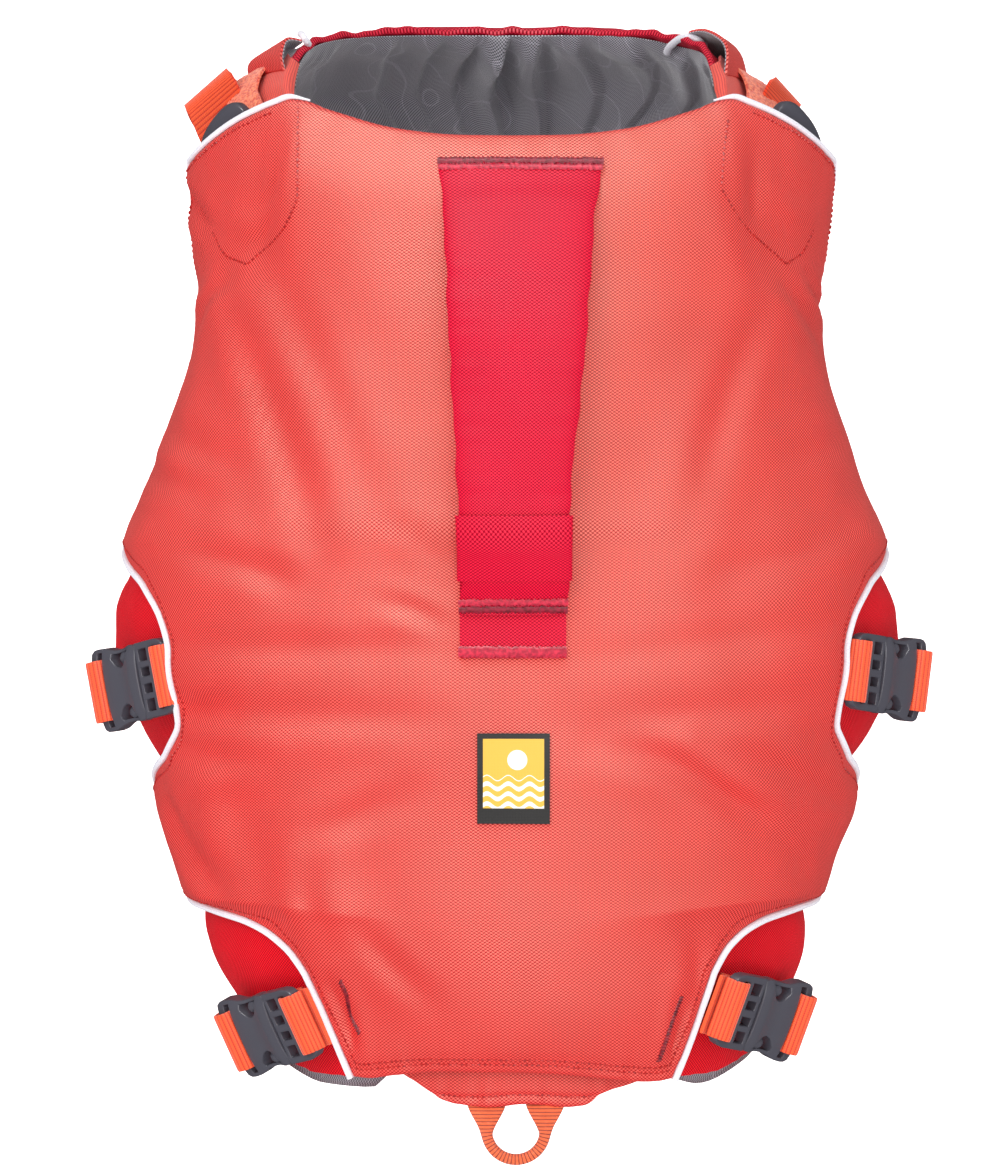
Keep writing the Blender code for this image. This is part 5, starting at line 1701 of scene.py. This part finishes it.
panel(
    "handle_cloth", np.sin(np.linspace(-np.pi / 2, np.pi / 2, 31)),
    np.linspace(HANDLE[0][0], HANDLE[-1][0], 121), handle_place, lambda w, y: (w * 0.026, y),
    handle_cloth, ["handle"],
)
panel(
    "handle_foot_cloth", np.linspace(-1, 1, 25), np.linspace(*BASE_Y, 31),
    lambda w, y, outer: back_top(w * BASE_HALF + 0.0004, y, GAP + (0.0016 if outer else 0.0)),
    lambda w, y: (w * BASE_HALF, y), handle_cloth, ["handle_base"],
)


WRAP_COLS, WRAP_ROWS = 48, 18


def wrap_piece():
    """The sleeve that wraps round the lower end of the handle."""
    levels = np.linspace(*WRAP_Y, WRAP_ROWS + 1)
    bm = bmesh.new()
    uv = bm.loops.layers.uv.new("cloth")
    bmesh.ops.create_grid(bm, x_segments=WRAP_COLS, y_segments=WRAP_ROWS, size=0.5)
    made = bmesh.ops.extrude_face_region(bm, geom=bm.faces[:], use_keep_orig=True)
    inner = {g for g in made["geom"] if isinstance(g, bmesh.types.BMVert)}
    cols = np.rint((np.array([v.co.x for v in bm.verts]) + 0.5) * WRAP_COLS).astype(int)
    rows = np.rint((np.array([v.co.y for v in bm.verts]) + 0.5) * WRAP_ROWS).astype(int)
    outer = np.array([v not in inner for v in bm.verts])
    share = (cols % WRAP_COLS) / WRAP_COLS * 4  # the wrap has four sides
    side, part = np.floor(share), share - np.floor(share)
    run = np.sin((part - 0.5) * np.pi * 0.92) / math.sin(np.pi * 0.46)
    flat = np.select([side == 0, side == 1, side == 2], [run, 1.0 + 0 * run, -run], -1.0)
    tall = np.select([side == 0, side == 1, side == 2], [1.0 + 0 * run, -run, -1.0 + 0 * run], run)
    y = levels[rows]
    left, right, lift, thick = handle_row(y)
    grow = WRAP_CLEAR + np.where(outer, WRAP_WALL, 0.0)
    flat = flat * (1 - 0.02 * np.abs(tall) ** 4)
    tall = tall * (1 - 0.30 * np.abs(flat) ** 8)
    x = (left + right) / 2 + flat * ((right - left) / 2 + grow)
    points = back_top(x, y, lift + thick / 2 + tall * (thick / 2 + grow))
    flat_map = {}
    for k, v in enumerate(bm.verts):
        flat_map[v] = (flat[k] * 0.0217 + (0.05 if tall[k] < 0 else 0.0), y[k])
        v.co = points[k]
    for face in bm.faces:
        for loop in face.loops:
            loop[uv].uv = flat_map[loop.vert]
    # The first and last columns meet, so the walls between the two faces there go.
    walls = [f for f in bm.faces if {int(cols[v.index]) for v in f.verts} in ({0}, {WRAP_COLS})]
    bmesh.ops.delete(bm, geom=walls, context="FACES_ONLY")
    bmesh.ops.remove_doubles(bm, verts=bm.verts, dist=1e-6)
    bmesh.ops.recalc_face_normals(bm, faces=bm.faces)
    finished("handle_wrap_cloth", bm, handle_cloth, ["handle_wrap"], 50)


wrap_piece()


def satin(name, y, height, left, right, above, threads):
    """A bar of satin stitches across the handle: threads side by side, uneven at their ends."""
    random = np.random.default_rng(int(abs(y) * 10000))
    count = int((right - left) / 0.00042)
    xs = np.linspace(left, right, count)
    starts = y - height / 2 + random.uniform(-0.00045, 0.00045, count)
    ends = y + height / 2 + random.uniform(-0.00045, 0.00045, count)
    low, high = back_top(xs, starts, above), back_top(xs, ends, above)
    bm = bmesh.new()
    for a, b in zip(low, high):
        middle = Vector((a + b) / 2)
        along = Vector((b - a) / 2)
        side = Vector((0.00034, 0, 0))
        up = along.cross(side).normalized() * -0.00040
        turned = Matrix((along, side, up)).transposed().to_4x4()
        turned.translation = middle
        bmesh.ops.create_uvsphere(bm, u_segments=6, v_segments=6, radius=1.0, matrix=turned)
    finished(name, bm, threads)


# At each sewn end one bar is the darker copy of the thread, which is painted shade on that half.
satin("satin_bar_top", 0.1672, 0.0030, -0.0296, 0.0364, 0.0031, shaded_satin)
satin("satin_bar_top_lower", 0.1646, 0.0028, -0.0292, 0.0360, 0.0031, satin_thread)
satin("satin_bar_middle", -0.0066, 0.0030, -0.0212, 0.0222, 0.0058, satin_thread)
satin("satin_bar_middle_lower", -0.0094, 0.0030, -0.0210, 0.0220, 0.0052, shaded_satin)
satin("satin_bar_foot", -0.0262, 0.0050, -0.0212, 0.0216, 0.0026, satin_thread)
print("handle done")

# %% [markdown]
# ## The woven patch
# A small damask label behind the handle: a black border, a yellow field and a plain motif of waves
# under a sun. The motif is worked out from the patch's own map, so it stays on it.

# %% Patch
PATCH = (0.0006, -0.0765, 0.0290, 0.0360, 0.0010)


def patch_material():
    """Damask label: fine satin yarns in three colours."""
    made, tree, shader = start_material("damask label, woven", "#e9b33c", 0.55, 0.4)
    uv = node(tree, "ShaderNodeUVMap", {"uv_map": "cloth"}).outputs[0]
    split = node(tree, "ShaderNodeSeparateXYZ", {}, {0: uv})
    x, y = split.outputs[0], split.outputs[1]
    far_x = math_node(tree, "ABSOLUTE", x)
    far_y = math_node(tree, "ABSOLUTE", y)
    border_x = math_node(tree, "GREATER_THAN", far_x, 0.0145 - 0.0023)
    border_y = math_node(tree, "GREATER_THAN", far_y, 0.0180 - 0.0021)
    foot = math_node(tree, "LESS_THAN", y, -0.0118)
    border = math_node(tree, "MAXIMUM", math_node(tree, "MAXIMUM", border_x, border_y), foot)
    wave = math_node(tree, "SINE", math_node(tree, "MULTIPLY", x, 2 * math.pi / 0.0085))
    lifted = math_node(tree, "MULTIPLY_ADD", wave, 0.0011, y)
    rows = math_node(tree, "SINE", math_node(tree, "MULTIPLY", lifted, 2 * math.pi / 0.0040))
    bands = math_node(tree, "GREATER_THAN", rows, 0.15)
    below = math_node(tree, "LESS_THAN", lifted, 0.0005)
    sun_far = node(
        tree, "ShaderNodeVectorMath", {"operation": "DISTANCE"}, {0: uv, 1: (0.0015, 0.0075, 0.0)}
    ).outputs["Value"]
    sun = math_node(tree, "LESS_THAN", sun_far, 0.0040)
    pale = math_node(tree, "MAXIMUM", math_node(tree, "MULTIPLY", bands, below), sun)
    field = node(tree, "ShaderNodeMix", {"data_type": "RGBA"}, {"Factor": pale})
    whole = node(tree, "ShaderNodeMix", {"data_type": "RGBA"}, {"Factor": border})
    for socket in field.inputs:
        if socket.identifier == "A_Color":
            socket.default_value = rgb("#eeb93f")
        if socket.identifier == "B_Color":
            socket.default_value = rgb("#f7f3ea")
    for socket in whole.inputs:
        if socket.identifier == "A_Color":
            tree.links.new(next(s for s in field.outputs if s.identifier == "Result_Color"), socket)
        if socket.identifier == "B_Color":
            socket.default_value = rgb("#23201f")
    tree.links.new(next(s for s in whole.outputs if s.identifier == "Result_Color"),
                   shader.inputs["Base Color"])
    across, along = cloth_axes(tree, 0.6, 0.6)
    bump(tree, shader, plain_weave(tree, across, along), 0.12, 0.5)
    return made


label = patch_material()
x0, y0, width, height, thick = PATCH
panel(
    "woven_patch", np.linspace(-0.5, 0.5, 31), np.linspace(-0.5, 0.5, 37),
    lambda a, b, outer: back_top(x0 + width * a, y0 + height * b, GAP + (thick if outer else 0.0)),
    lambda a, b: (a * width, b * height), label, ["patch"],
)

# %% [markdown]
# ## Tail tab and leash loop
# A coral tab under the hem carries a loop of webbing rolled to a cord, where a leash clips on.

# %% Tail
TAB = (-0.187, -0.2105, 0.0018)
TAB_SIDES = (
    # part   left     right
    (0.00, -0.0470, 0.0540),
    (0.45, -0.0430, 0.0540),
    (0.62, -0.0370, 0.0460),
    (0.78, -0.0320, 0.0345),
    (0.92, -0.0270, 0.0305),
    (1.00, -0.0210, 0.0270),
)
TAB_ROLL = 0.0016
LOOP_X, LOOP_R = 0.0016, 0.0118
LOOP_FOOT_Y, LOOP_TURN_Y = -0.2020, -0.2200
LOOP_CORD = 0.0023


def tab_place(w, part):
    """Arc and y on the tab; w runs from the left edge to the right one."""
    start, end, _ = TAB
    y = start + (end - start) * part + 0.0006 * np.sin(5 * w + 1) * part
    left, right = curve(TAB_SIDES, part, 1), curve(TAB_SIDES, part, 2)
    return (left + right) / 2 + w * (right - left) / 2, y


def tab_face(w, part, outer):
    """Both faces of the tab, which is turned in and rolled at its lower edge."""
    across, y = tab_place(w, part)
    turn = np.arcsin(across / curve(FORM, y))
    edge = np.clip((1 - part) * 0.0235, 0.0, TAB_ROLL)
    drop = TAB_ROLL - np.sqrt(TAB_ROLL ** 2 - (TAB_ROLL - edge) ** 2)
    hollow = -0.0007 * np.exp(-((((1 - part) * 0.0235 - 0.0042) / 0.0012) ** 2))
    wave = puckers((1 - part) * 0.0235 - 0.003, across, 0.010, 0.00035, 14) - 0.0004
    top = -2 * GAP + np.minimum(wave, 0.0) + hollow - drop
    return trunk(y, turn, top if outer else top - TAB[2] + 0.8 * drop)


panel("tail_tab_cloth", np.linspace(-1, 1, 91), np.linspace(0, 1, 49), tab_face,
      tab_place, coral_cloth, ["tail_tab"])
tab_w = np.linspace(-0.93, 0.93, 120)
tab_part = np.full(120, 1 - 0.0042 / 0.0235)
tab_row = tab_face(tab_w, tab_part, True)
tab_up = np.tile((0.0, -0.10, 0.995), (120, 1))
stitches("topstitching_tab", [(tab_row, tab_up)], hole_shade_thread)

low = float(trunk(TAB[1], 0.0)[2]) - 3 * GAP - TAB[2] - 0.0021
stem = np.linspace(LOOP_FOOT_Y, LOOP_TURN_Y, 14)[:-1]
bend = np.linspace(0, np.pi, 37)
loop_x = np.concatenate((np.full(13, LOOP_X - LOOP_R), LOOP_X - LOOP_R * np.cos(bend),
                         np.full(13, LOOP_X + LOOP_R)))
loop_y = np.concatenate((stem, LOOP_TURN_Y - LOOP_R * np.sin(bend), stem[::-1]))
loop_points = np.stack((loop_x, loop_y, np.full(len(loop_x), low)), axis=-1)
flatness = 1 - rise(-loop_y, -LOOP_FOOT_Y + 0.006, -LOOP_TURN_Y + 0.003)


def leash_loop():
    """Webbing rolled to a cord, with two flat feet under the tab."""
    piece = tube("leash_loop_web", loop_points, np.tile((0, 0, 1.0), (len(loop_points), 1)), 1.0,
                 cord_webbing, ["leash_loop"], sides=16)
    mesh = piece.data
    along, side_way = frames_along(loop_points, np.tile((0, 0, 1.0), (len(loop_points), 1)))
    for v in mesh.vertices:
        away = np.array(v.co) - loop_points
        k = int(np.argmin(np.abs(np.einsum("ij,ij->i", away, along)) + 0.001 * np.abs(
            np.linalg.norm(away, axis=1) - 1.0)))
        c, s = float(away[k] @ side_way[k]), float(away[k][2])
        wide = LOOP_CORD + (0.0080 - LOOP_CORD) * flatness[k]
        tall = LOOP_CORD + (0.0011 - LOOP_CORD) * flatness[k]
        v.co = Vector(loop_points[k] + side_way[k] * c * wide) + Vector((0, 0, s * tall))
    return piece


leash_loop()

# %% [markdown]
# ## Topstitching
# A row of stitches runs a few millimetres inside every edge. The thread is coloured darker than the cloth:
# painted shade of the needle holes.

# %% Stitch rows
STITCH_IN = 0.0036
HEM_ROWS = (0.0040, 0.0062)
SUNK = 0.00005


def on_back(base, s):
    """Points and normals on the back panel's outer face."""
    points = back_outer(base, s, SUNK)
    return points, unit(back_outer(base, s, SUNK + 0.001) - points)


def plan_line(points):
    """A sewn line on the back panel from places seen from above, in millimetres."""
    line = smooth_line(np.array(points) / 1000, 0.002)
    here = back_top(line[:, 0], line[:, 1], SUNK)
    return here, unit(back_top(line[:, 0], line[:, 1], SUNK + 0.001) - here)


lines = []
side_bases = back_rows[(back_rows > HEM_Y + 0.004) & (back_rows < FRONT_Y - 0.004)]
for sign in SIDES.values():
    edge_width = np.radians(curve(SIDE_EDGE, side_bases)) * curve(FORM, side_bases)
    slope = np.gradient(edge_width, side_bases)
    inset = STITCH_IN * np.sqrt(1 + np.minimum(slope ** 2, 16.0))
    lines.append(on_back(side_bases, sign * (1 - inset / edge_width)))
for sign in SIDES.values():
    flap_s = sign * np.linspace(0.54, 0.985, 120)
    lines.append(on_back(np.full(120, FRONT_Y - STITCH_IN), flap_s))
hem_s = np.linspace(-0.96, 0.96, 160)
for inset in HEM_ROWS:
    lines.append(on_back(np.full(160, HEM_Y + inset), hem_s))
# The stitches' dark colour is painted shade of their holes.
stitches("topstitching_back", lines, hole_shade_thread)

stitches("reinforcement_stitching", [plan_line(p) for p in FLAP_LINES], hole_shade_thread,
         0.0024, 0.0019, 0.0011)
# Partly thread, partly painted shade of the dart's fold.
stitches("dart_stitching", [plan_line(p) for p in DART_LINES], dart_thread_and_fold_shade,
         0.0013, 0.0032, 0.0013, 0.9)
print("stitches done")

# %% [markdown]
# ## What was cut flat
# Cloth is cut flat before it is sewn, so each thin piece is listed with its cut: width and length in
# metres, the share of that rectangle that it fills, how it is held, and what carries it.

# %% Cut list
CUTS = (
    # piece                 width  length share  held         carried by
    ("back_lining_cloth", 0.400, 0.400, 0.775, "stretched", "back_panel_cloth"),
    ("belly_lining_cloth", 0.660, 0.240, 0.870, "stretched", "belly_panel_cloth"),
    ("breast_lining_cloth", 0.290, 0.190, 0.595, "gathered", "breast_cloth"),
    ("band_cloth_left", 0.060, 0.056, 0.930, "stretched", "breast_cloth"),
    ("band_cloth_right", 0.060, 0.056, 0.930, "stretched", "breast_cloth"),
    ("pile_cloth_left", 0.032, 0.056, 0.950, "laid", "band_cloth_left"),
    ("pile_cloth_right", 0.032, 0.056, 0.950, "laid", "band_cloth_right"),
    ("sleeve_cloth_left", 0.035, 0.058, 0.710, "stretched", "breast_cloth"),
    ("sleeve_cloth_right", 0.045, 0.060, 0.870, "stretched", "breast_cloth"),
    ("sleeve_lining_left", 0.035, 0.058, 0.650, "stretched", "sleeve_cloth_left"),
    ("sleeve_lining_right", 0.045, 0.060, 0.805, "stretched", "sleeve_cloth_right"),
    ("sleeve_facing_left", 0.0265, 0.0155, 0.828, "stretched", "sleeve_cloth_left"),
    ("neck_strap_web_left", 0.025, 0.087, 1.000, "folded", "neck_clip_left"),
    ("neck_strap_web_right", 0.025, 0.060, 0.900, "folded", "neck_clip_right"),
    ("upper_web_front_left", 0.025, 0.048, 1.000, "folded", "insert_front_left"),
    ("upper_web_front_right", 0.025, 0.048, 1.000, "folded", "insert_front_right"),
    ("upper_web_rear_left", 0.025, 0.049, 1.000, "folded", "insert_rear_left"),
    ("upper_web_rear_right", 0.025, 0.049, 1.000, "folded", "insert_rear_right"),
    ("lower_web_front_left", 0.025, 0.080, 1.000, "folded", "socket_front_left"),
    ("lower_web_front_right", 0.025, 0.080, 1.000, "folded", "socket_front_right"),
    ("lower_web_rear_left", 0.025, 0.070, 1.000, "folded", "socket_rear_left"),
    ("lower_web_rear_right", 0.025, 0.070, 1.000, "folded", "socket_rear_right"),
    ("handle_cloth", 0.062, 0.185, 0.900, "stretched", "back_panel_cloth"),
    ("handle_foot_cloth", 0.0425, 0.036, 1.000, "laid", "back_panel_cloth"),
    ("handle_wrap_cloth", 0.098, 0.027, 1.000, "folded", "handle_cloth"),
    ("woven_patch", 0.029, 0.036, 1.000, "laid", "back_panel_cloth"),
    ("tail_tab_cloth", 0.101, 0.026, 0.860, "laid", "back_panel_cloth"),
)
for name, width, length, share, held, carrier in CUTS:
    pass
print("cut pieces", len(CUTS))

# %% Finish
print("pieces", len(added))
